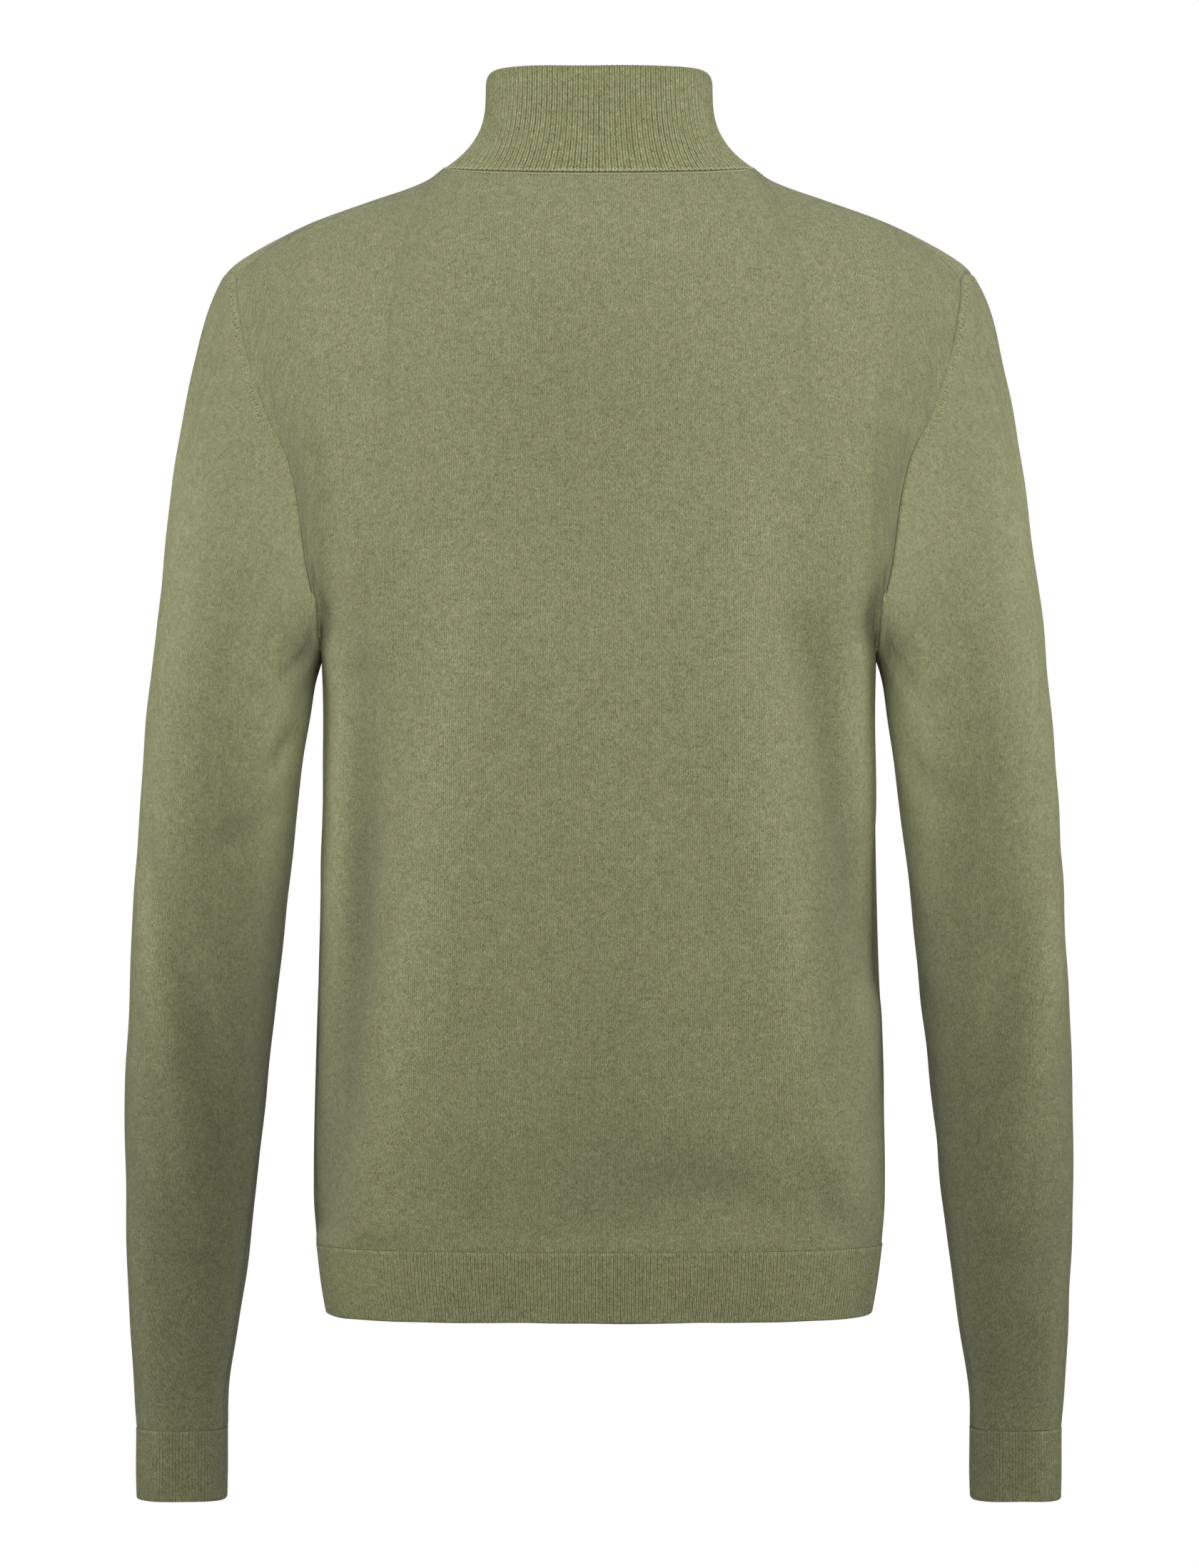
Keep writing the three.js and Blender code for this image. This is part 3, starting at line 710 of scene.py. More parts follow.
@dataclass(frozen=True)
class SleeveForm:
    """A sleeve: squared oval rings down to the cuff, and a crown that runs up to the armhole."""

    body: BodyForm
    side: Side
    squareness: float = 2.7
    top_z: float = -0.300
    cuff_seam_z: float = -0.7075
    leave: float = 0.13
    leave_out: float = 0.6
    leave_down: float = 0.8
    leave_in: float = 0.1
    leave_in_from: float = 0.030
    arrive: float = 0.4
    arrive_lean: float = 0.1
    seam_turn: float = 0.34
    loop_places: int = 400

    def ring(self, curves: Profile, z: Grid, angle: Grid) -> Grid:
        """Places points on level rings.

        Args:
            curves: The table of rings.
            z: The heights.
            angle: 0 at the outer edge of the arm, pi at the inner one.

        Returns:
            The points, with their coordinates on a new last axis.
        """
        outer, inner = curves.at("outer", z), curves.at("inner", z)
        across = signed_power(np.cos(angle), 2 / self.squareness)
        out = signed_power(np.sin(angle), 2 / self.squareness)
        x = self.side.value * (outer + inner + (outer - inner) * across) / 2
        y = curves.at("forward", z) + curves.at("depth", z) * out
        return np.stack([x, y, z + np.zeros_like(x)], axis=-1)

    def turned(self, share: Grid, z: Grid) -> Grid:
        """Turns a share of the way round into an angle; the underarm seam slips to the back."""
        slip = self.seam_turn * smooth_step(self.body.armpit_z, self.cuff_seam_z, z)
        return math.pi + 2 * math.pi * share + slip * np.cos(math.pi * share) ** 2

    def armhole_loop(self) -> tuple[Grid, Grid]:
        """Follows the armhole from the underarm up the back, over the shoulder and down the front.

        Returns:
            The places and their share of the way round.
        """
        climb = np.linspace(0, 1, self.loop_places)
        column = np.full(self.loop_places, float(self.side.value))
        back = self.body.yoke(Face.BACK, column, climb)
        front = self.body.yoke(Face.FRONT, column, climb)
        loop = np.concatenate([back, front[::-1][1:]])
        run = path_lengths(loop)
        return loop, run / run[-1]

    def lay_out(self, shares: Grid, crown_rows: int, arm_rows: int) -> Grid:
        """Lays out the sleeve from the cuff seam up to the armhole.

        Args:
            shares: The share of the way round of each column.
            crown_rows: How many rows the crown has.
            arm_rows: How many rows the arm below it has.

        Returns:
            The points, rows by columns by 3.
        """
        loop, run = self.armhole_loop()
        start = np.stack([np.interp(shares, run, loop[:, k]) for k in range(3)], axis=-1)
        end = self.ring(SLEEVE_CURVES, np.array(self.top_z), self.turned(shares, np.array(self.top_z)))
        reach = np.linalg.norm(end - start, axis=1, keepdims=True)
        turn_in = -self.leave_in * np.clip(start[:, 1] / self.leave_in_from, -1, 1)
        out = np.full_like(turn_in, self.side.value * self.leave_out)
        leave = np.stack([out, turn_in, np.full_like(turn_in, -self.leave_down)], axis=-1)
        leave *= self.leave * reach / np.linalg.norm(leave, axis=1, keepdims=True)
        arrive = np.array([-self.side.value * self.arrive_lean, 0, 1]) * self.arrive * reach
        t = np.linspace(1, 0, crown_rows)[:, None, None]
        crown = (1 - t) ** 3 * start + 3 * t * (1 - t) ** 2 * (start + leave)
        crown = crown + 3 * t**2 * (1 - t) * (end + arrive) + t**3 * end
        z = np.linspace(self.cuff_seam_z, self.top_z, arm_rows)[:-1, None]
        arm = self.ring(SLEEVE_CURVES, z, self.turned(shares[None, :], z))
        return np.concatenate([arm, crown])


# ------------------------------------------------------------------------------ grids of cloth


@dataclass(frozen=True)
class Spacing:
    """Where the rows or columns of a grid lie: crowded at the ends, even between them."""

    count: int
    ends: tuple[float, ...] = (0.0, 0.0005, 0.0010, 0.0016, 0.0024, 0.0036, 0.0054, 0.0078)

    def respace(self, points: Grid, axis: int) -> Grid:
        """Moves the points of a grid along its lines.

        Args:
            points: The grid, rows by columns by 3.
            axis: 1 to respace along the rows, 0 along the columns.

        Returns:
            The grid with count points along that axis.
        """
        lines = np.moveaxis(points, axis, 0)
        lengths = run_lengths(lines, 0)
        low = np.array(self.ends)
        made = np.empty((self.count, lines.shape[1], 3))
        for line in range(lines.shape[1]):
            whole = lengths[-1, line]
            middle = np.linspace(low[-1], whole - low[-1], self.count - 2 * len(low) + 2)
            places = np.concatenate([low[:-1], middle, whole - low[::-1][1:]])
            for k in range(3):
                made[:, line, k] = np.interp(places, lengths[:, line], lines[:, line, k])
        return np.moveaxis(made, 0, axis)


RELAX_STEP = 0.5


def relax(points: Grid, passes: int, weight: Grid) -> Grid:
    """Smooths a grid along its columns.

    Args:
        points: The grid.
        passes: How often each point moves part of the way to the mean of its two neighbours.
        weight: How much of that step each point takes, from 0 to 1; the end rows stay.

    Returns:
        The smoothed grid.
    """
    points = points.copy()
    for _ in range(passes):
        mean = (points[:-2] + points[2:]) / 2
        points[1:-1] += (mean - points[1:-1]) * weight[1:-1, :, None] * RELAX_STEP
    return points


def outward_normals(points: Grid, ring: bool) -> Grid:
    """Finds a tube's or half tube's normals, turned to face out of it.

    Args:
        points: The grid.
        ring: True where the last column repeats the first.

    Returns:
        The unit normals.
    """
    normals = grid_normals(points, ring)
    centres = points.mean(axis=1, keepdims=True)
    facing = np.sum(normals * (points - centres))
    return normals if facing > 0 else -normals


def groove(distance: Grid, depth: float, width: float) -> Grid:
    """Sinks cloth towards a seam that it is a given distance away from."""
    return -depth * closeness(distance, width)


def new_mesh(name: str, drawn: bmesh.types.BMesh) -> bpy.types.Mesh:
    """Makes a mesh of what was drawn.

    Args:
        name: The mesh's name.
        drawn: The drawing, which is let go.

    Returns:
        The mesh.
    """
    mesh = bpy.data.meshes.new(name)
    drawn.to_mesh(mesh)
    drawn.free()
    return mesh


def add_object(name: str, data: bpy.types.ID) -> bpy.types.Object:
    """Adds an object to the scene, at the origin.

    Args:
        name: Its name.
        data: Its mesh, lamp or camera.

    Returns:
        The object.
    """
    thing = bpy.data.objects.new(name, data)
    bpy.context.scene.collection.objects.link(thing)
    return thing


def add_piece(mesh: bpy.types.Mesh, material: bpy.types.Material) -> bpy.types.Object:
    """Gives a mesh its finish and adds it to the scene under its own name.

    Args:
        mesh: The mesh.
        material: Its finish.

    Returns:
        The piece.
    """
    mesh.materials.append(material)
    mesh.shade_smooth()
    return add_object(mesh.name, mesh)


@dataclass
class Cloth:
    """A grid of cloth on its way to being a mesh.

    It has points and outward normals, a knit map of how far across and up each point lies, and the
    painted light and shade of the cloth there. A ring's last column lies on its first.
    """

    points: Grid
    normals: Grid
    across: Grid
    up: Grid
    shade: Grid
    ring: bool = False

    def draw_back(self, gap: float, rows: tuple[bool, bool], sides: bool) -> None:
        """Draws sewn edges back, so that neighbours never touch.

        Args:
            gap: How far.
            rows: Whether the first and the last row are sewn.
            sides: Whether the ends of the rows are.
        """
        edges = []
        if rows[0]:
            edges.append((np.s_[0], np.s_[1]))
        if rows[1]:
            edges.append((np.s_[-1], np.s_[-2]))
        if sides:
            edges.extend([(np.s_[:, 0], np.s_[:, 1]), (np.s_[:, -1], np.s_[:, -2])])
        for edge, beside in edges:
            step = self.points[beside] - self.points[edge]
            self.points[edge] += step * gap / np.linalg.norm(step, axis=-1, keepdims=True)

    def close_end(self) -> None:
        """Joins the last row to the first one, with a strip as wide as the wall."""
        self.points = np.concatenate([self.points, self.points[:1]])
        self.normals = np.concatenate([self.normals, self.normals[:1]])
        self.across = np.concatenate([self.across, self.across[:1]])
        self.up = np.concatenate([self.up, self.up[-1:]])
        self.shade = np.concatenate([self.shade, self.shade[:1]])

    def to_object(self, name: str, material: bpy.types.Material) -> bpy.types.Object:
        """Makes the mesh, with its knit map, its painted light and shade, and where it is brushed.

        Args:
            name: The piece's name.
            material: Its finish.

        Returns:
            The object, at the origin, its faces turned outwards.
        """
        rows, columns = self.points.shape[:2]
        sheet = bmesh.new()
        bmesh.ops.create_grid(sheet, x_segments=columns - 1, y_segments=rows - 1, size=1)
        mesh = new_mesh(name, sheet)
        flat = np.empty(len(mesh.vertices) * 3)
        mesh.vertices.foreach_get("co", flat)
        flat = flat.reshape(-1, 3)
        column = np.rint((flat[:, 0] + 1) / 2 * (columns - 1)).astype(int)
        row = np.rint((flat[:, 1] + 1) / 2 * (rows - 1)).astype(int)
        mesh.vertices.foreach_set("co", self.points[row, column].ravel())
        corner = np.empty(len(mesh.loops), int)
        mesh.loops.foreach_get("vertex_index", corner)
        layer = mesh.uv_layers.new(name="knit")
        knit = np.stack([self.across, self.up], axis=-1)[row[corner], column[corner]]
        layer.uv.foreach_set("vector", knit.ravel())
        # The shade layer is painted light and shade; the brushed layer is wear.
        tones = {"shade": self.shade * painted_light_and_shade(self.points), "brushed": brushed(self.points)}
        for label, values in tones.items():
            layer = mesh.attributes.new(label, "FLOAT", "POINT")
            layer.data.foreach_set("value", values[row, column].ravel())
        mesh.update()
        faces = np.empty(len(mesh.polygons) * 3)
        mesh.polygons.foreach_get("normal", faces)
        starts = np.empty(len(mesh.polygons), int)
        mesh.polygons.foreach_get("loop_start", starts)
        wanted = self.normals[row[corner[starts]], column[corner[starts]]]
        body = bmesh.new()
        body.from_mesh(mesh)
        if np.sum(faces.reshape(-1, 3) * wanted) < 0:
            bmesh.ops.reverse_faces(body, faces=body.faces[:])
        if self.ring:
            bmesh.ops.remove_doubles(body, verts=body.verts[:], dist=WELD)
        body.to_mesh(mesh)
        body.free()
        return add_piece(mesh, material)


def thicken(piece: bpy.types.Object, wall: float) -> None:
    """Gives a sheet of cloth its thickness, inwards from its outer face.

    Args:
        piece: The sheet.
        wall: The thickness.
    """
    solid = piece.modifiers.new("wall", "SOLIDIFY")
    solid.thickness = wall
    solid.offset = -1
    solid.use_even_offset = False
    solid.use_rim = True


# ------------------------------------------------------------------------------ finishes


class Nodes:
    """Adds shader nodes to a new material and joins them up."""

    def __init__(self, name: str) -> None:
        """Starts the material with a Principled shader.

        Args:
            name: The material's name.
        """
        self.material = bpy.data.materials.new(name)
        self.material.use_nodes = True
        self.tree = self.material.node_tree
        self.shader = self.tree.nodes["Principled BSDF"]

    def add(self, kind: str, **settings: object) -> bpy.types.Node:
        """Adds a node.

        Args:
            kind: Blender's name for it.
            settings: Its properties.

        Returns:
            The node.
        """
        node = self.tree.nodes.new(kind)
        for key, value in settings.items():
            setattr(node, key, value)
        return node

    def feed(self, socket: bpy.types.NodeSocket, value: object) -> None:
        """Joins a socket to another one, or sets it to a plain value.

        Args:
            socket: The socket that is fed.
            value: The other socket, or the value.
        """
        if isinstance(value, bpy.types.NodeSocket):
            self.tree.links.new(value, socket)
        else:
            socket.default_value = value

    def math(self, operation: str, *values: object) -> bpy.types.NodeSocket:
        """Adds a Math node.

        Args:
            operation: Blender's name for the sum.
            values: What goes in.

        Returns:
            Its result.
        """
        node = self.add("ShaderNodeMath", operation=operation)
        for socket, value in zip(node.inputs, values):
            self.feed(socket, value)
        return node.outputs[0]

    def vector(self, x: object, y: object, z: object = 0.0) -> bpy.types.NodeSocket:
        """Joins three numbers into a vector.

        Args:
            x: The first.
            y: The second.
            z: The third.

        Returns:
            The vector.
        """
        node = self.add("ShaderNodeCombineXYZ")
        for socket, value in zip(node.inputs, (x, y, z)):
            self.feed(socket, value)
        return node.outputs[0]

    def noise(self, place: bpy.types.NodeSocket, detail: float = 0.0) -> bpy.types.NodeSocket:
        """Adds a noise of scale 1.

        Args:
            place: Where it is read.
            detail: How many finer noises are added to it.

        Returns:
            Its value, about 0 to 1.
        """
        node = self.add("ShaderNodeTexNoise", noise_dimensions="3D")
        self.feed(node.inputs["Vector"], place)
        self.feed(node.inputs["Scale"], 1.0)
        self.feed(node.inputs["Detail"], detail)
        return node.outputs["Fac"]

    def blend(self, share: object, low: object, high: object) -> bpy.types.NodeSocket:
        """Mixes two colours.

        Args:
            share: How much of the second one there is.
            low: The first.
            high: The second.

        Returns:
            The mixed colour.
        """
        node = self.add("ShaderNodeMix", data_type="RGBA", clamp_factor=True)
        for name, value in (("Factor_Float", share), ("A_Color", low), ("B_Color", high)):
            self.feed(next(s for s in node.inputs if s.identifier == name), value)
        return next(s for s in node.outputs if s.identifier == "Result_Color")

    def times(self, first: object, second: object) -> bpy.types.NodeSocket:
        """Multiplies two vectors or colours, part by part.

        Args:
            first: One of them.
            second: The other.

        Returns:
            The product.
        """
        node = self.add("ShaderNodeVectorMath", operation="MULTIPLY")
        self.feed(node.inputs[0], first)
        self.feed(node.inputs[1], second)
        return node.outputs[0]

    def scaled(self, vector: bpy.types.NodeSocket, factor: object) -> bpy.types.NodeSocket:
        """Multiplies a vector or a colour by a number.

        Args:
            vector: The vector.
            factor: The number.

        Returns:
            The product.
        """
        node = self.add("ShaderNodeVectorMath", operation="SCALE")
        self.feed(node.inputs[0], vector)
        self.feed(node.inputs["Scale"], factor)
        return node.outputs[0]

    def matt(self, colour: object, roughness: float) -> None:
        """Gives the shader a colour and a roughness."""
        self.feed(self.shader.inputs["Base Color"], colour)
        self.feed(self.shader.inputs["Roughness"], roughness)

    def raise_by(self, height: bpy.types.NodeSocket, distance: float) -> None:
        """Lets the light fall as if the surface stood up.

        Args:
            height: By how much, as a share of the distance.
            distance: The most, in metres.
        """
        bump = self.add("ShaderNodeBump")
        self.feed(bump.inputs["Height"], height)
        self.feed(bump.inputs["Distance"], distance)
        self.feed(bump.inputs["Strength"], 1.0)
        self.feed(self.shader.inputs["Normal"], bump.outputs[0])


class YarnPlaces(NamedTuple):
    """Where a point lies in the knit: how far across, in which course, how high the yarn is."""

    across: bpy.types.NodeSocket
    course: bpy.types.NodeSocket
    height: bpy.types.NodeSocket


@dataclass(frozen=True)
class Melange:
    """The colours of the yarn, spun from dark, middle and pale olive fibres.

    Noises of several lengths are added up, each times its gain, and their sum picks the colour. A
    fleck or a streak keeps to its course; the fibres, the patches of hue and the mottle don't.
    """

    dark: tuple[float, float, float, float] = (0.124, 0.134, 0.056, 1)
    base: tuple[float, float, float, float] = (0.280, 0.291, 0.159, 1)
    light: tuple[float, float, float, float] = (0.466, 0.474, 0.288, 1)
    warm: tuple[float, float, float, float] = (1.034, 0.993, 0.985, 1)
    cool: tuple[float, float, float, float] = (0.966, 1.006, 0.985, 1)
    fleck_length: float = 0.0016
    fleck_gain: float = 0.55
    streak_length: float = 0.0048
    streak_gain: float = 0.34
    fibre_length: float = 0.00085
    fibre_height: float = 0.00030
    fibre_gain: float = 1.9
    mottle: float = 0.011
    mottle_gain: float = 0.05
    course_apart: float = 7.31
    streaks_apart: float = 9.0
    dark_at: float = 0.08
    base_at: float = 0.5
    light_at: float = 0.92
    patch: float = 0.0042
    patch_contrast: float = 3.0
    patch_start: float = -1.0

    def paint(self, nodes: Nodes, yarn: YarnPlaces, cloth: bpy.types.NodeSocket) -> bpy.types.NodeSocket:
        """Colours the yarn: short flecks and longer streaks along each course, and patches of hue.

        Args:
            nodes: The material's nodes.
            yarn: Where each point lies in the knit.
            cloth: Where it lies on the cloth, in metres.

        Returns:
            The colour, before the painted shade of the hollows between the stitches.
        """
        row = nodes.math("MULTIPLY", nodes.math("FLOOR", yarn.course), self.course_apart)
        fleck = nodes.vector(nodes.math("DIVIDE", yarn.across, self.fleck_length), row)
        along = nodes.math("DIVIDE", yarn.across, self.streak_length)
        streak = nodes.vector(along, row, self.streaks_apart)
        fibre = nodes.times(cloth, (1 / self.fibre_length, 1 / self.fibre_height, 1.0))
        mottle = nodes.scaled(cloth, 1 / self.mottle)
        value = self.base_at
        for place, detail, gain in (
            (fleck, 1.0, self.fleck_gain),
            (streak, 0.0, self.streak_gain),
            (fibre, 1.0, self.fibre_gain),
            (mottle, 1.0, self.mottle_gain),
        ):
            part = nodes.math("MULTIPLY_ADD", nodes.noise(place, detail), gain, -gain / 2)
            value = nodes.math("ADD", value, part)
        ramp = nodes.add("ShaderNodeValToRGB")
        stops = ramp.color_ramp.elements
        stops[0].position, stops[0].color = self.dark_at, self.dark
        stops[1].position, stops[1].color = self.light_at, self.light
        stops.new(self.base_at).color = self.base
        nodes.feed(ramp.inputs[0], value)
        hue = nodes.noise(nodes.scaled(cloth, 1 / self.patch), 1.0)
        warmth = nodes.math("MULTIPLY_ADD", hue, self.patch_contrast, self.patch_start)
        return nodes.times(ramp.outputs[0], nodes.blend(warmth, self.cool, self.warm))


@dataclass(frozen=True)
class KnitFinish:
    """Fine knit: its stitches follow the piece's own knit map.

    A jersey has a wale every pitch, in metres. A rib's map counts its ribs, so its pitch is 1.
    Lengths and heights are in metres; shares, gains and tones are plain factors. The hollows between the
    stitches are darkened with painted shade.
    """

    name: str
    pitch: float
    course: float = 0.00125
    ribbed: bool = False
    rib_width: float = 0.0020
    slant: float = 0.7
    knit_share: float = 0.90
    leg_roundness: float = 0.8
    loop_share: float = 0.20
    hollow: float = 0.62
    hollow_green: float = 1.01
    hollow_blue: float = 1.2
    relief: float = 0.00030
    wobble: float = 0.00040
    wobble_size: float = 0.006
    wobble_up: float = -2.0
    fibre: float = 0.35
    fibre_size: float = 0.0006
    soft: float = 0.35
    soft_size: float = 0.012
    soft_contrast: float = 4.0
    soft_height: float = 0.44
    tone: float = 1.0
    roughness: float = 0.95
    gloss: float = 0.15
    sheen: float = 0.24
    sheen_roughness: float = 0.38
    sheen_tint: tuple[float, float, float, float] = (0.72, 0.72, 0.60, 1)
    melange: Melange = field(default_factory=Melange)

    def make(self) -> bpy.types.Material:
        """Makes the material.

        Returns:
            The material, its colour, relief and sheen set.
        """
        nodes = Nodes(self.name)
        cloth, yarn = self.lay_yarn(nodes)
        colour = self.melange.paint(nodes, yarn, cloth)
        # Painted shade in the hollows between the stitches, taking more blue than red and green.
        colour = nodes.blend(yarn.height, nodes.times(colour, self.hollow_tint()), colour)
        # The cloth's shade layer, painted light and shade, scales the colour together with the tone.
        shade = nodes.add("ShaderNodeAttribute", attribute_name="shade").outputs["Fac"]
        colour = nodes.scaled(colour, nodes.math("MULTIPLY", shade, self.tone))
        nodes.matt(colour, self.roughness)
        for socket, value in (
            ("Specular IOR Level", self.gloss),
            ("Sheen Weight", self.sheen),
            ("Sheen Roughness", self.sheen_roughness),
            ("Sheen Tint", self.sheen_tint),
        ):
            nodes.feed(nodes.shader.inputs[socket], value)
        fibre = nodes.noise(nodes.scaled(cloth, 1 / self.fibre_size), 2.0)
        nodes.raise_by(nodes.math("MULTIPLY_ADD", fibre, self.fibre, yarn.height), self.relief)
        return nodes.material

    def hollow_tint(self) -> tuple[float, float, float]:
        """Tells what is left of red, green and blue where painted shade darkens the hollows between the
        stitches.
        """
        blue = 1 - (1 - self.hollow) * self.hollow_blue
        return self.hollow, self.hollow * self.hollow_green, max(blue, 0.0)

    def lay_yarn(self, nodes: Nodes) -> tuple[bpy.types.NodeSocket, YarnPlaces]:
        """Works out where each point lies in the knit.

        Args:
            nodes: The material's nodes.

        Returns:
            Its place on the cloth, in metres, and its place in the knit.
        """
        knit = nodes.add("ShaderNodeUVMap", uv_map="knit").outputs[0]
        split = nodes.add("ShaderNodeSeparateXYZ")
        nodes.feed(split.inputs[0], knit)
        across, up = split.outputs[0], split.outputs[1]
        width = self.rib_width if self.ribbed else 1.0
        metres = nodes.vector(nodes.math("MULTIPLY", across, width), up)
        sway = nodes.math("SUBTRACT", nodes.noise(nodes.scaled(metres, 1 / self.wobble_size)), 0.5)
        if not self.ribbed:
            across = nodes.math("MULTIPLY_ADD", sway, self.wobble, across)
        up = nodes.math("MULTIPLY_ADD", sway, self.wobble_up * self.wobble, up)
        phase = nodes.math("FRACT", nodes.math("DIVIDE", across, self.pitch))
        off = nodes.math("MULTIPLY", nodes.math("ABSOLUTE", nodes.math("SUBTRACT", phase, 0.5)), 2.0)
        course = nodes.math("MULTIPLY_ADD", off, self.slant, nodes.math("DIVIDE", up, self.course))
        loop = nodes.math("ABSOLUTE", nodes.math("SINE", nodes.math("MULTIPLY", course, math.pi)))
        share = self.knit_share if self.ribbed else 1.0
        leg = nodes.math("SINE", nodes.math("MULTIPLY", off, math.pi / share))
        leg = nodes.math("POWER", nodes.math("MAXIMUM", leg, 0.0), self.leg_roundness)
        loops = nodes.math("MULTIPLY_ADD", loop, self.loop_share, 1 - self.loop_share)
        height = nodes.math("MULTIPLY", leg, loops)
        flat = nodes.math("SUBTRACT", self.soft_height, height)
        height = nodes.math("MULTIPLY_ADD", flat, self.lay_wear(nodes, metres), height)
        return metres, YarnPlaces(nodes.math("MULTIPLY", across, width), course, height)

    def lay_wear(self, nodes: Nodes, metres: bpy.types.NodeSocket) -> bpy.types.NodeSocket:
        """Works out where raised fibres hide the stitches.

        Args:
            nodes: The material's nodes.
            metres: The place on the cloth.

        Returns:
            How far they do, from 0 to 1.
        """
        worn = nodes.noise(nodes.scaled(metres, 1 / self.soft_size), 2.0)
        worn = nodes.math("MULTIPLY_ADD", worn, self.soft_contrast, -self.soft_contrast / 2)
        worn = nodes.math("MINIMUM", nodes.math("MAXIMUM", worn, 0.0), self.soft)
        raised = nodes.add("ShaderNodeAttribute", attribute_name="brushed").outputs["Fac"]
        return nodes.math("MAXIMUM", worn, raised)


@dataclass(frozen=True)
class YarnFinish:
    """Yarn for what is stitched one by one: lighter than the knit, partly as a painted highlight; or
    dark, as painted shade in small holes.
    """

    name: str = "linking_yarn"
    colour: tuple[float, float, float, float] = (0.400, 0.410, 0.230, 1)
    shadow: tuple[float, float, float, float] = (0.220, 0.230, 0.115, 1)
    fibre_scale: float = 1200.0
    relief: float = 0.0001
    roughness: float = 0.95

    def make(self) -> bpy.types.Material:
        """Makes the material.

        Returns:
            A matt yarn with short fibres.
        """
        nodes = Nodes(self.name)
        place = nodes.add("ShaderNodeTexCoord").outputs["Object"]
        fibres = nodes.noise(nodes.scaled(place, self.fibre_scale), 2.0)
        nodes.matt(nodes.blend(fibres, self.shadow, self.colour), self.roughness)
        nodes.raise_by(fibres, self.relief)
        return nodes.material


@dataclass(frozen=True)
class PlainFinish:
    """The pale, even ground under the sweater."""

    name: str = "studio_ground"
    colour: tuple[float, float, float, float] = (0.86, 0.86, 0.86, 1)
    mottle: tuple[float, float, float, float] = (0.83, 0.83, 0.83, 1)
    roughness: float = 0.9

    def make(self) -> bpy.types.Material:
        """Makes the material.

        Returns:
            A matt, very slightly mottled material.
        """
        nodes = Nodes(self.name)
        place = nodes.add("ShaderNodeTexCoord").outputs["Object"]
        nodes.matt(nodes.blend(nodes.noise(place, 2.0), self.colour, self.mottle), self.roughness)
        return nodes.material


# Each finish's tone scales its colour; between the ribbed bands the tones also differ as painted light,
# lighter at the hem and collar and darker at the cuffs.
JERSEY = KnitFinish("jersey", pitch=0.0020, tone=0.885)
BAND_RIB = KnitFinish(
    "band_rib", pitch=1.0, ribbed=True, rib_width=0.0018, hollow=0.36, relief=0.0004, tone=1.10
)
COLLAR_RIB = replace(
    BAND_RIB, name="collar_rib", course=0.00140, rib_width=0.0027, hollow=0.38, tone=0.99
)
CUFF_RIB = replace(BAND_RIB, name="cuff_rib", hollow=0.55, relief=0.00025, tone=0.92)
# The linking, rib-end and marking stitches are lighter than the knit's base: partly a painted highlight,
# besides the real light their raised beads catch.
LINKING_YARN_HIGHLIGHT = YarnFinish()
# Dark beads that are painted shade in the small holes beside the fashioning marks.
STITCH_HOLE_SHADE = YarnFinish(
    "stitch_hollow", colour=(0.150, 0.157, 0.078, 1), shadow=(0.095, 0.100, 0.047, 1)
)


# ------------------------------------------------------------------------------ the pieces


@dataclass
class Panel:
    """The back or front panel: fine jersey from the hem seam to the shoulder and neck seams."""

    form: BodyForm
    face: Face
    folds: tuple[FoldRow, ...]
    columns: Spacing = field(default_factory=lambda: Spacing(161))
    rows: Spacing = field(default_factory=lambda: Spacing(205))
    wall: float = 0.0014
    seam_depth: float = 0.0010
    neck_depth: float = 0.0003
    hem_depth: float = 0.0001
    seam_width: float = 0.0014
    gap: float = 0.00002
    unevenness: Unevenness = field(default_factory=Unevenness)
    samples: int = 321
    top_fade: float = 0.030
    hem_fade: float = 0.013
    side_fade: float = 0.014
    armpit_smooth: tuple[float, float] = (0.02, 0.20)
    side_smooth: tuple[float, float] = (0.90, 0.98)
    smooth_passes: int = 160
    seam_shade: float = 0.30
    neck_shade: float = 0.14
    shade_width: float = 0.0010

    def build(self, material: bpy.types.Material) -> bpy.types.Object:
        """Makes the panel.

        Args:
            material: Its finish.

        Returns:
            The piece, ready to be declared.
        """
        columns = np.linspace(-1, 1, self.samples)
        heights = np.linspace(0, 2, self.samples)
        points = self.form.panel(self.face, columns, heights)
        near_armpit = 1 - smooth_step(*self.armpit_smooth, np.abs(heights - 1))
        inside = 1 - smooth_step(*self.side_smooth, np.abs(columns))
        points = relax(points, self.smooth_passes, near_armpit[:, None] * inside[None, :])
        points = self.rows.respace(points, 0)
        points = self.columns.respace(points, 1)
        normals = outward_normals(points, False)
        run, rise = run_lengths(points, 1), run_lengths(points, 0)
        to_side = np.minimum(run, run[:, -1:] - run)
        to_top = rise[-1:] - rise
        lift = fold_heights(self.folds, points[..., 0], points[..., 2])
        lift *= smooth_step(0, self.top_fade, to_top) * smooth_step(0, self.hem_fade, rise)
        lift *= smooth_step(0, self.side_fade, to_side)
        # Painted light on the folds' backs and painted shade in their troughs.
        tone = fold_painted_light(lift)
        to_edge = np.minimum(to_side, np.minimum(to_top, rise))
        lift += self.unevenness.at(points) * smooth_step(0, self.side_fade, to_edge)
        strength = seam_strength(points[..., 0], points[..., 2])
        lift += groove(to_side, self.seam_depth, self.seam_width) * strength
        lift += groove(to_top, self.neck_depth, self.seam_width) * neck_point_calm(points[..., 0])
        lift += groove(rise, self.hem_depth, self.seam_width)
        points = points + normals * lift[..., None]
        shade = tone - self.seam_shade * strength * closeness(to_side, self.shade_width)
        shade *= 1 - self.neck_shade * closeness(to_top, self.shade_width)
        middle = points.shape[1] // 2
        across = run - run[:, middle : middle + 1]
        cloth = Cloth(points, normals, across, rise, shade)
        cloth.draw_back(self.gap, (True, True), True)
        piece = cloth.to_object(f"{self.face.value}_cloth", material)
        thicken(piece, self.wall)
        return piece


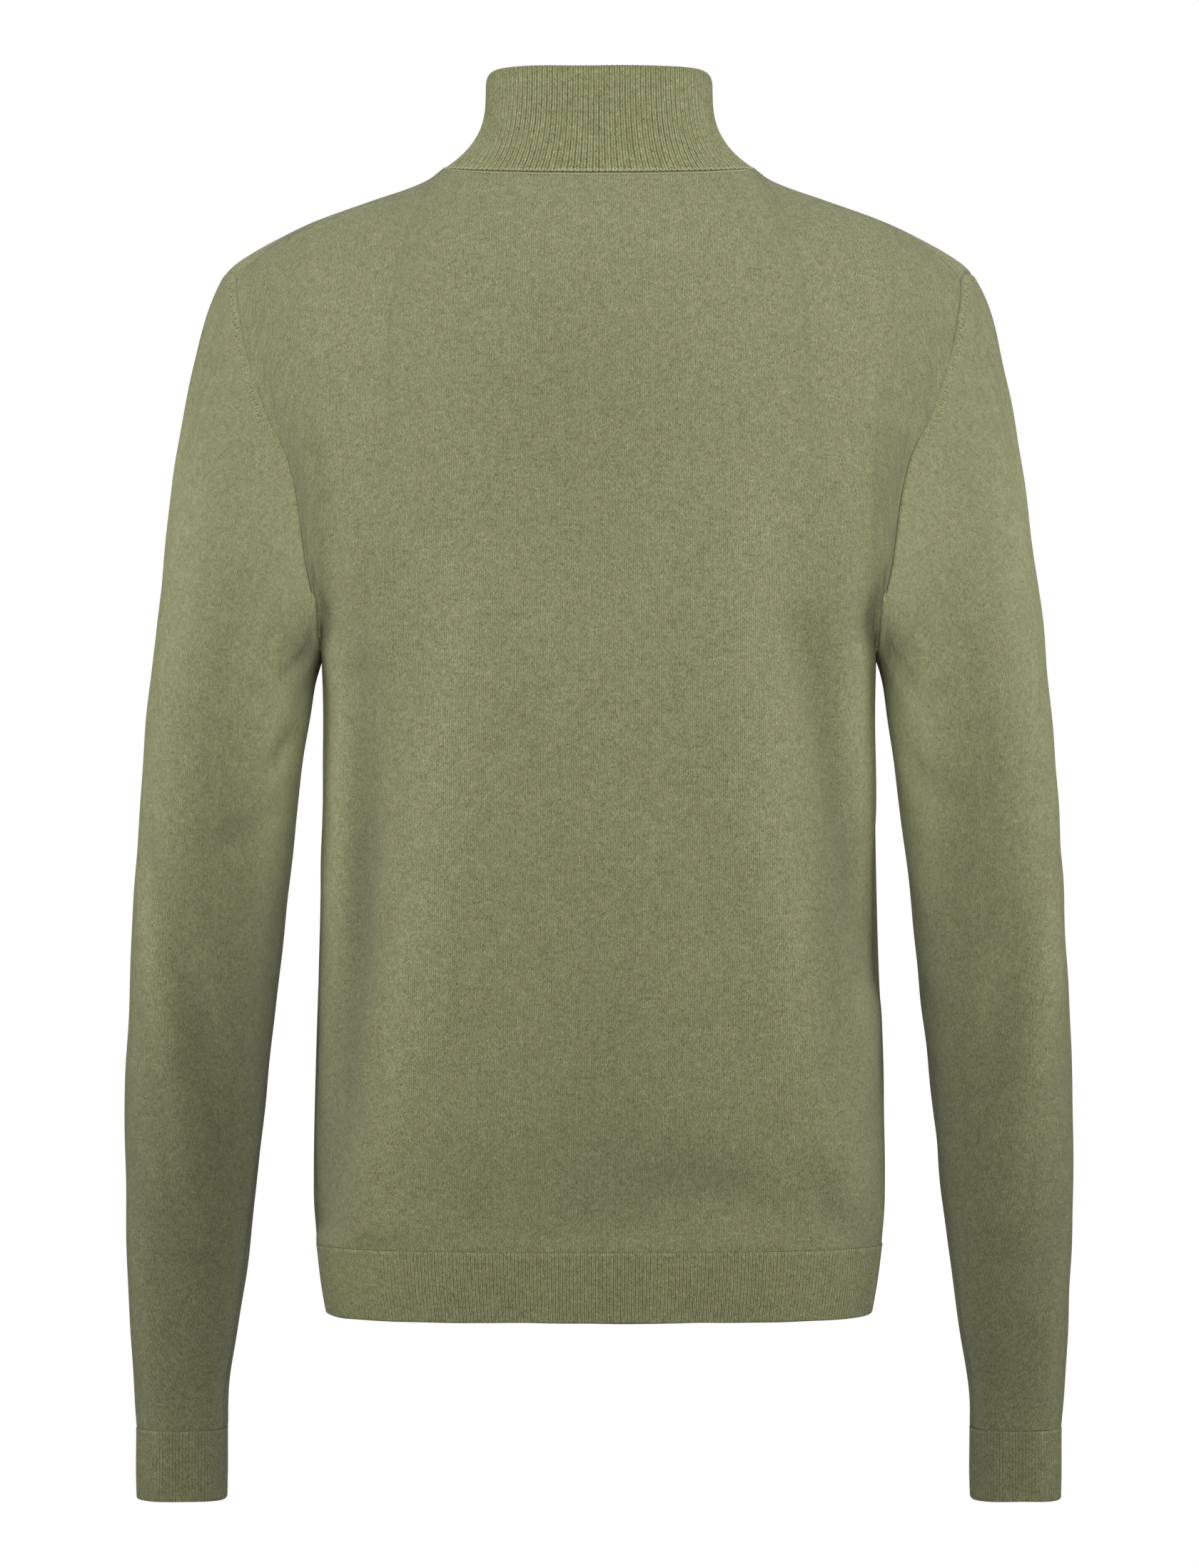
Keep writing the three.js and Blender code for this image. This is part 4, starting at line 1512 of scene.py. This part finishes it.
@dataclass
class Sleeve:
    """A set-in sleeve of fine jersey, from the armhole to the cuff seam."""

    form: SleeveForm
    folds: tuple[FoldRow, ...]
    columns: Spacing = field(default_factory=lambda: Spacing(121))
    rows: Spacing = field(default_factory=lambda: Spacing(221))
    wall: float = 0.0014
    seam_depth: float = 0.0010
    cuff_depth: float = 0.0001
    seam_width: float = 0.0014
    underarm_depth: float = 0.0006
    gap: float = 0.00002
    unevenness: Unevenness = field(default_factory=Unevenness)
    samples: int = 241
    crown_samples: int = 90
    arm_samples: int = 210
    join_smooth: tuple[float, float] = (0.01, 0.05)
    smooth_passes: int = 120
    facing: tuple[float, float] = (0.1, 0.6)
    front_fold_share: float = 0.7
    front_fold_drop: float = 0.02
    front_fold_bow: float = 0.03
    top_fade: float = 0.012
    cuff_fade: float = 0.010
    seam_shade: float = 0.30
    shade_width: float = 0.0010
    underarm_shade: float = 0.2
    underarm_width: float = 0.0008
    cloth: Cloth | None = None

    def build(self, material: bpy.types.Material) -> bpy.types.Object:
        """Makes the sleeve, and keeps its cloth for the stitches worked on it.

        Args:
            material: Its finish.

        Returns:
            The piece, ready to be declared.
        """
        shares = np.linspace(0, 1, self.samples)
        points = self.form.lay_out(shares, self.crown_samples, self.arm_samples)
        join = 1 - smooth_step(*self.join_smooth, np.abs(points[..., 2] - self.form.top_z))
        points = relax(points, self.smooth_passes, join)
        points = self.columns.respace(points, 1)
        points = self.rows.respace(points, 0)
        normals = outward_normals(points, True)
        run, rise = run_lengths(points, 1), run_lengths(points, 0)
        to_seam = np.minimum(run, run[:, -1:] - run)
        to_top = rise[-1:] - rise
        x, z = points[..., 0], points[..., 2]
        lift = fold_heights(self.folds, x, z) * smooth_step(*self.facing, -normals[..., 1])
        lift += fold_heights(self.front_folds(), x, z) * smooth_step(*self.facing, normals[..., 1])
        # Painted light on the folds' backs and painted shade in their troughs.
        tone = fold_painted_light(lift * smooth_step(0, self.top_fade, to_top))
        lift += self.unevenness.at(points)
        lift *= smooth_step(0, self.top_fade, to_top) * smooth_step(0, self.cuff_fade, rise)
        strength = seam_strength(points[-1:, :, 0], points[-1:, :, 2])
        lift += groove(to_top, self.seam_depth, self.seam_width) * strength
        lift += groove(rise, self.cuff_depth, self.seam_width)
        lift += groove(to_seam, self.underarm_depth, self.seam_width)
        points = points + normals * lift[..., None]
        shade = tone - self.seam_shade * strength * closeness(to_top, self.shade_width)
        shade *= 1 - self.underarm_shade * closeness(to_seam, self.underarm_width)
        middle = points.shape[1] // 2
        across = run - run[:, middle : middle + 1]
        cloth = Cloth(points, normals, across, rise, shade)
        cloth.draw_back(self.gap, (True, True), False)
        self.cloth = cloth
        piece = cloth.to_object(f"sleeve_{self.form.side.name.lower()}_cloth", material)
        thicken(piece, self.wall)
        return piece

    def front_folds(self) -> tuple[FoldRow, ...]:
        """Works out the folds of the front from those behind.

        Returns:
            The same folds, weaker and a little lower.
        """
        share, drop, bow = self.front_fold_share, self.front_fold_drop, self.front_fold_bow
        return tuple(
            fold._replace(
                lift=share * fold.lift, z0=fold.z0 - drop, z1=fold.z1 - bow, z2=fold.z2 - drop
            )
            for fold in self.folds
        )


@dataclass
class RibbedBand:
    """A band of 1 x 1 rib all round: ribs stand out of it on both faces, its free edge is folded."""

    name: str
    surface: Callable[[Grid, Grid], Grid]
    ribs: int
    per_rib: int
    wall: float
    relief: float
    outer_rows: int
    inner_rows: int
    fold_rows: int = 5
    row_ends: tuple[float, ...] = (0.0, 0.0004, 0.0008, 0.0012, 0.0017, 0.0024)
    fold_room: float = 0.9
    rib_roundness: float = 0.8
    rib_sink: float = 0.6
    seam_fade: float = 0.0006
    seam_depth: float = 0.0001
    seam_width: float = 0.0008
    seam_shade: float = 0.05
    seam_break: float = 0.6
    break_pace: float = 0.9
    drift_pace: float = 0.23
    drift: float = 2.0
    cap: float = 0.00020
    cap_at: float = 0.0011
    cap_width: float = 0.0009
    cap_shade: float = 0.16
    fold_flat: float = 0.75
    fold_ease: float = 0.0035
    fold_shade: float = 0.10
    fold_shade_width: float = 0.0015
    calm: bool = False
    gap: float = 0.00002
    unevenness: float = 0.00015
    samples: int = 1441

    def build(self, material: bpy.types.Material) -> bpy.types.Object:
        """Makes the band.

        Args:
            material: Its finish.

        Returns:
            The piece, ready to be declared.
        """
        points, normals, whole = self.wrap()
        travel = run_lengths(points, 0)
        rib = np.arange(points.shape[1]) / self.per_rib
        crest = 0.5 - 0.5 * np.cos(2 * math.pi * rib)
        from_seam = smooth_step(0, self.seam_fade, travel)
        from_fold = 1 - self.fold_flat * closeness(travel - whole, self.fold_ease)
        ribbing = crest[None, :] ** self.rib_roundness - self.rib_sink
        lift = self.relief * ribbing * from_seam * from_fold
        lift += Unevenness(height=self.unevenness, seed=len(self.name)).at(points)
        calm = neck_point_calm(points[..., 0]) if self.calm else 1.0
        plain = self.plainness(rib)[None, :]
        lift += groove(travel, self.seam_depth, self.seam_width) * calm
        lift -= groove(travel - self.cap_at, self.cap, self.cap_width) * calm * plain
        points = points + normals * lift[..., None]
        points[:, -1] = points[:, 0]
        # Painted shade along the seam, a painted highlight on the rib ends just above it, and painted
        # shade along the folded edge.
        shade = 1 - self.seam_shade * plain * closeness(travel, self.seam_fade)
        shade += self.cap_shade * closeness(travel - self.cap_at, self.cap_width)
        shade *= 1 - self.fold_shade * closeness(travel - whole, self.fold_shade_width)
        across = np.broadcast_to(rib, travel.shape)
        cloth = Cloth(points, normals, across, travel, shade, ring=True)
        cloth.draw_back(self.gap, (True, True), False)
        cloth.close_end()
        return cloth.to_object(self.name, material)

    def wrap(self) -> tuple[Grid, Grid, float]:
        """Lays out the band's outer face, its folded edge and its inner face as one grid.

        Returns:
            The points, their normals, and how far the folded edge is from the seam.
        """
        angles = np.linspace(-math.pi, math.pi, self.samples)
        heights = np.linspace(0, 1, 4 * self.outer_rows)
        points = self.surface(*np.meshgrid(angles, heights))
        points = Spacing(self.ribs * self.per_rib + 1, (0.0,)).respace(points, 1)
        whole = run_lengths(points, 0)[-1].mean()
        points = Spacing(self.outer_rows, self.row_ends).respace(points, 0)
        rise = run_lengths(points, 0)
        outward = outward_normals(points, True)
        radius = self.wall / 2
        keep = (rise[-1:] - rise).mean(axis=1) > radius * self.fold_room
        edge, rim = points[-1], outward[-1]
        up = edge - points[-3]
        up /= np.linalg.norm(up, axis=1, keepdims=True)
        centre = edge - up * radius - rim * radius
        turn = np.linspace(0, math.pi, self.fold_rows + 2)[:, None, None]
        fold_out = rim * np.cos(turn) + up * np.sin(turn)
        outer, outer_out = points[keep], outward[keep]
        picked = np.linspace(len(outer) - 1, 0, self.inner_rows).astype(int)[1:]
        inner = outer[picked] - outer_out[picked] * self.wall
        points = np.concatenate([outer, centre + fold_out * radius, inner])
        normals = np.concatenate([outer_out, fold_out, -outer_out[picked]])
        return points, normals, whole

    def plainness(self, rib: Grid) -> Grid:
        """Gives how plainly the seam shows at each rib; its stitches pull it in unevenly."""
        wave = np.sin(rib * self.break_pace + self.drift * np.sin(rib * self.drift_pace))
        return 1 - self.seam_break * (0.5 + 0.5 * wave)


@dataclass(frozen=True)
class CollarForm:
    """The stand collar: flared at the neck seam, upright above it, higher at the back."""

    body: BodyForm
    half: float = 0.0634
    depth: float = 0.054
    forward: float = 0.002
    back_z: float = 0.053
    side_z: float = 0.046
    front_z: float = 0.020
    squareness: float = 2.8
    flare: float = 3.4
    top_ease: float = 4.0

    def at(self, angle: Grid, height: Grid) -> Grid:
        """Places points of the collar.

        Args:
            angle: 0 at the middle of the back.
            height: From 0 at the neck seam to 1 at the top.

        Returns:
            The points, with their coordinates on a new last axis.
        """
        base = self.body.neck_seam(angle)
        across = signed_power(np.sin(angle), 2 / self.squareness)
        back = signed_power(np.cos(angle), 2 / self.squareness)
        turned = (1 - np.cos(angle)) / 2
        rear = self.back_z + (self.side_z - self.back_z) * (2 * turned) ** self.top_ease
        fore = self.side_z + (self.front_z - self.side_z) * (2 * turned - 1)
        top_z = np.where(back > 0, rear, fore)
        flare = (1 - height) ** self.flare
        top_x = self.half * across
        top_y = self.forward - self.depth * back
        x = top_x + (base[..., 0] - top_x) * flare
        y = top_y + (base[..., 1] - top_y) * flare
        z = base[..., 2] + (top_z - base[..., 2]) * height
        return np.stack([x, y, z], axis=-1)


@dataclass(frozen=True)
class HemForm:
    """The hem's band, below the hem seam."""

    body: BodyForm
    bottom_z: float = HEM[-1].z

    def at(self, angle: Grid, height: Grid) -> Grid:
        """Places points of the hem.

        Args:
            angle: 0 at the middle of the back.
            height: From 0 at the seam to 1 at the free edge.

        Returns:
            The points, with their coordinates on a new last axis.
        """
        z = self.body.hem_seam_z + (self.bottom_z - self.body.hem_seam_z) * height
        column = np.arcsin(np.clip(np.sin(angle), -1, 1)) / RIGHT_ANGLE
        back = self.body.section(HEM_CURVES, Face.BACK, column, z)
        front = self.body.section(HEM_CURVES, Face.FRONT, column, z)
        return np.where(np.cos(angle)[..., None] >= 0, back, front)


@dataclass(frozen=True)
class CuffForm:
    """A cuff's band, below the cuff seam."""

    sleeve: SleeveForm
    bottom_z: float = CUFF[-1].z

    def at(self, angle: Grid, height: Grid) -> Grid:
        """Places points of the cuff; height runs from 0 at the seam to 1 at the free edge."""
        z = self.sleeve.cuff_seam_z + (self.bottom_z - self.sleeve.cuff_seam_z) * height
        return self.sleeve.ring(CUFF_CURVES, z, angle)


@dataclass(frozen=True)
class Bead:
    """One stitch seen from outside: a small round-ended bead of yarn."""

    length: float
    thickness: float
    sides: int = 8
    rings: int = 5

    def lay(self, row: bmesh.types.BMesh, centre: Vector, long: Vector, out: Vector) -> None:
        """Adds a stitch to a row of them.

        Args:
            row: What the row is drawn in.
            centre: The stitch's middle.
            long: The direction that it lies along.
            out: The way out of the cloth.
        """
        short = out.cross(long)
        axes = Matrix((long * self.length, short * self.thickness, out * self.thickness))
        place = Matrix.Translation(centre) @ axes.transposed().to_4x4()
        bmesh.ops.create_uvsphere(
            row, u_segments=self.sides, v_segments=self.rings, radius=1, matrix=place
        )


def sewn(name: str, row: bmesh.types.BMesh, material: bpy.types.Material) -> bpy.types.Object:
    """Makes one piece of a row of stitches, its faces turned outwards."""
    bmesh.ops.recalc_face_normals(row, faces=row.faces[:])
    return add_piece(new_mesh(name, row), material)


@dataclass
class LinkedSeam:
    """A row of linking stitches along the neck seam: small slanted beads."""

    body: BodyForm
    name: str = "collar_linking"
    beads: int = 250
    bead: Bead = Bead(length=0.00125, thickness=0.00042)
    below: float = 0.0016
    proud: float = 0.00012
    sunk: float = 0.0012
    hidden: float = 0.93
    slant: float = 0.35
    zigzag: bool = False
    samples: int = 2001
    look_along: float = 0.002
    look_down: float = 0.02
    outwards: tuple[float, float] = (1.5, 0.02)

    def build(self, material: bpy.types.Material) -> bpy.types.Object:
        """Makes the row of stitches as one mesh.

        Args:
            material: Its finish.

        Returns:
            The piece, ready to be placed in the frame.
        """
        fine = np.linspace(0, 2 * math.pi, self.samples)
        run = path_lengths(self.body.neck_seam(fine))
        places = np.interp((np.arange(self.beads) + 0.5) / self.beads * run[-1], run, fine)
        row = bmesh.new()
        for count, angle in enumerate(places):
            here, along, down, out = self.directions(angle)
            near_neck_point = max(abs(math.sin(angle)) - self.hidden, 0) / (1 - self.hidden)
            centre = here + down * self.below + out * (self.proud - near_neck_point * self.sunk)
            turned = -self.slant if self.zigzag and count % 2 else self.slant
            self.bead.lay(row, centre, (along + down * turned).normalized(), out)
        return sewn(self.name, row, material)

    def directions(self, angle: float) -> tuple[Vector, Vector, Vector, Vector]:
        """Finds a place on the neck seam and the ways on from it.

        Args:
            angle: 0 at the middle of the back.

        Returns:
            The place, and the ways along the seam, down the body and out of it.
        """
        here, ahead = self.body.neck_seam(np.array([angle, angle + self.look_along]))
        along = Vector(ahead - here).normalized()
        face = Face.BACK if math.cos(angle) >= 0 else Face.FRONT
        lift = float(self.body.top_lift(face, np.array(here[0] * self.body.just_inside)))
        lower = self.body.shoulder_point(face, np.array(here[0]), np.array(lift - self.look_down))
        down = Vector(lower - here).normalized()
        out = along.cross(down).normalized()
        deeper, rise = self.outwards
        if out.dot(Vector((here[0], here[1] * deeper, rise))) < 0:
            out = -out
        return Vector(here), along, down, out


@dataclass
class FashioningMarks:
    """The doubled stitches left where a sleeve's cap was narrowed, in rows beside the armhole."""

    sleeve: Sleeve
    name: str = "marks"
    start: float = 0.0
    top_z: float = -0.064
    bottom_z: float = -0.146
    pitch: float = 0.0034
    from_seam: tuple[float, ...] = (0.0030, 0.0062)
    bead: Bead = Bead(length=0.0011, thickness=0.00040)
    proud: float = 0.00004
    slant: float = 0.9
    missing: float = 0.35
    stray: float = 0.0006
    rows_beside: int = 2
    seed: int = 3

    def build(self, material: bpy.types.Material) -> bpy.types.Object:
        """Makes the stitches of one sleeve as one mesh.

        Args:
            material: Their finish.

        Returns:
            The piece, ready to be placed in the frame.
        """
        cloth = self.sleeve.cloth
        to_top = cloth.up[-1:] - cloth.up
        chance = np.random.default_rng(self.seed)
        row = bmesh.new()
        for distance in self.from_seam:
            line = np.argmin(np.abs(to_top - distance), axis=0)
            picked = np.arange(cloth.points.shape[1])
            above = np.minimum(line + self.rows_beside, len(cloth.points) - 1)
            places = cloth.points[line, picked]
            grids = (places, cloth.normals[line, picked], cloth.points[above, picked])
            run = path_lengths(places)
            for stop in np.arange(self.start, run[-1], self.pitch):
                dropped = chance.random() < self.missing
                spot = stop + chance.normal() * self.stray
                place, out, seam = (
                    Vector(np.interp(spot, run, grid[:, k]) for k in range(3)) for grid in grids
                )
                if dropped or not self.bottom_z < place.z < self.top_z:
                    continue
                out.normalize()
                up = (seam - place).normalized()
                across = up.cross(out)
                across *= math.copysign(1, -across.z)
                long = (up + across * self.slant).normalized()
                self.bead.lay(row, place + out * self.proud, long, out)
        return sewn(f"{self.name}_{self.sleeve.form.side.name.lower()}", row, material)


# ------------------------------------------------------------------------------ the studio


@dataclass(frozen=True)
class SoftLight:
    """A square soft light, aimed at a point."""

    name: str
    place: tuple[float, float, float]
    aim: tuple[float, float, float]
    size: float
    power: float

    def build(self) -> None:
        """Adds the light to the scene."""
        lamp = bpy.data.lights.new(self.name, "AREA")
        lamp.shape = "SQUARE"
        lamp.size = self.size
        lamp.energy = self.power
        light = add_object(self.name, lamp)
        light.location = self.place
        facing = Vector(self.aim) - Vector(self.place)
        light.rotation_euler = facing.to_track_quat("-Z", "Y").to_euler()


@dataclass(frozen=True)
class Studio:
    """A pale floor, a white ground behind, soft lights and the camera."""

    floor_z: float = -1.42
    floor_radius: float = 3.0
    floor_sides: int = 96
    white: tuple[float, float, float, float] = (1, 1, 1, 1)
    ambient: float = 0.08
    camera_place: tuple[float, float, float] = (0.0003, -4.0, -0.345)
    focal_length: float = 163.86
    sensor_width: float = 36.0
    lights: tuple[SoftLight, ...] = (
        SoftLight("front", (0.0, -1.6, 0.1), (0, 0, -0.15), 0.8, 9.0),
        SoftLight("near", (0.0, -1.15, 0.25), (0, 0, -0.15), 0.7, 8.0),
        SoftLight("side_left", (-1.3, -0.3, 0.35), (-0.22, 0, -0.15), 0.8, 14.0),
        SoftLight("side_right", (1.3, -0.3, 0.35), (0.22, 0, -0.15), 0.8, 15.0),
        SoftLight("far_side", (0.0, 2.4, 0.4), (0, 0, -0.3), 1.2, 16.0),
        SoftLight("above", (0.0, 0.5, 1.3), (0, 0, 0), 1.0, 2.0),
    )

    def build(self) -> None:
        """Adds the floor, the light and the camera."""
        disc = bmesh.new()
        bmesh.ops.create_circle(
            disc, cap_ends=True, segments=self.floor_sides, radius=self.floor_radius
        )
        bmesh.ops.translate(disc, verts=disc.verts[:], vec=(0, 0, self.floor_z))
        add_piece(new_mesh("floor", disc), PlainFinish().make())
        for light in self.lights:
            light.build()
        self.build_world()
        camera = bpy.data.cameras.new("camera")
        camera.lens = self.focal_length
        camera.sensor_width = self.sensor_width
        holder = add_object("camera", camera)
        holder.location = self.camera_place
        holder.rotation_euler = (RIGHT_ANGLE, 0, 0)
        bpy.context.scene.camera = holder
        bpy.context.scene.view_settings.view_transform = "Standard"

    def build_world(self) -> None:
        """Sets a white ground that gives only a little light."""
        world = bpy.data.worlds.new("studio")
        world.use_nodes = True
        tree = world.node_tree
        ground = tree.nodes["Background"]
        ground.inputs["Strength"].default_value = self.ambient
        ground.inputs["Color"].default_value = self.white
        seen = tree.nodes.new("ShaderNodeBackground")
        seen.inputs["Color"].default_value = self.white
        path = tree.nodes.new("ShaderNodeLightPath")
        mix = tree.nodes.new("ShaderNodeMixShader")
        tree.links.new(path.outputs["Is Camera Ray"], mix.inputs[0])
        tree.links.new(ground.outputs[0], mix.inputs[1])
        tree.links.new(seen.outputs[0], mix.inputs[2])
        tree.links.new(mix.outputs[0], tree.nodes["World Output"].inputs["Surface"])
        bpy.context.scene.world = world


# ------------------------------------------------------------------------------ the sweater


@dataclass(frozen=True)
class Cut:
    """What a piece was cut or knitted to before it was worn."""

    flat: tuple[float, float]
    area: float
    rests_on: tuple[str, ...]


def declare(piece: bpy.types.Object, node: str) -> None:
    """Puts a piece of cloth into the frame in the place of its node.

    Args:
        piece: The cloth.
        node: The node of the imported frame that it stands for.
    """
    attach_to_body(piece, "root")
    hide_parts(node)
    LOG.info("%s: %d points", piece.name, len(piece.data.vertices))


def attach(stitches: bpy.types.Object) -> None:
    """Puts a row of stitches into the frame.

    Args:
        stitches: The row.
    """
    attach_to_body(stitches, "root")
    LOG.info("%s: %d points", stitches.name, len(stitches.data.vertices))


def main() -> None:
    """Builds the sweater piece by piece, then the studio."""
    logging.basicConfig(level=logging.INFO, format="%(message)s")
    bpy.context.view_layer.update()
    body = BodyForm()
    jersey = JERSEY.make()
    collar_rib = COLLAR_RIB.make()
    band_rib = BAND_RIB.make()
    cuff_rib = CUFF_RIB.make()
    yarn = LINKING_YARN_HIGHLIGHT.make()
    hollow = STITCH_HOLE_SHADE.make()

    back = Panel(body, Face.BACK, BACK_FOLDS).build(jersey)
    declare(back, "back_panel")
    front = Panel(body, Face.FRONT, FRONT_FOLDS, unevenness=Unevenness(seed=5)).build(jersey)
    declare(front, "front_panel")
    for side, folds in ((Side.LEFT, LEFT_SLEEVE_FOLDS), (Side.RIGHT, RIGHT_SLEEVE_FOLDS)):
        form = SleeveForm(body, side)
        sleeve = Sleeve(form, folds, unevenness=Unevenness(seed=11 + side.value))
        node = f"sleeve_{side.name.lower()}"
        declare(sleeve.build(jersey), node)
        attach(FashioningMarks(sleeve).build(yarn))
        # Dark beads beside the marks: painted shade in the small holes that the narrowing leaves.
        eyelets = FashioningMarks(
            sleeve, "eyelets", start=0.0017, bead=Bead(0.0008, 0.00032), proud=-0.00004, seed=9
        )
        attach(eyelets.build(hollow))
        cuff = RibbedBand(
            f"cuff_{side.name.lower()}_rib", CuffForm(form).at, ribs=104, per_rib=5,
            wall=0.0020, relief=0.00022, outer_rows=20, inner_rows=4,
        )
        declare(cuff.build(cuff_rib), f"cuff_{side.name.lower()}")
    collar = RibbedBand(
        "collar_rib", CollarForm(body).at, ribs=140, per_rib=6,
        wall=0.0030, relief=0.00042, outer_rows=36, inner_rows=12,
        seam_depth=0.0003, seam_shade=0.30, cap=0.0005, cap_shade=0.26, calm=True,
    )
    declare(collar.build(collar_rib), "collar")
    hem = RibbedBand(
        "hem_rib_cloth", HemForm(body).at, ribs=440, per_rib=4,
        wall=0.0020, relief=0.00030, outer_rows=20, inner_rows=4,
    )
    declare(hem.build(band_rib), "hem_rib")
    rib_ends = LinkedSeam(
        body, "collar_rib_ends", beads=300, bead=Bead(0.0011, 0.00050),
        below=-0.0004, proud=0.0007, slant=0.9, zigzag=True,
    )
    for row in (LinkedSeam(body), rib_ends):
        attach(row.build(yarn))

    Studio().build()


if __name__ == "__main__":
    main()
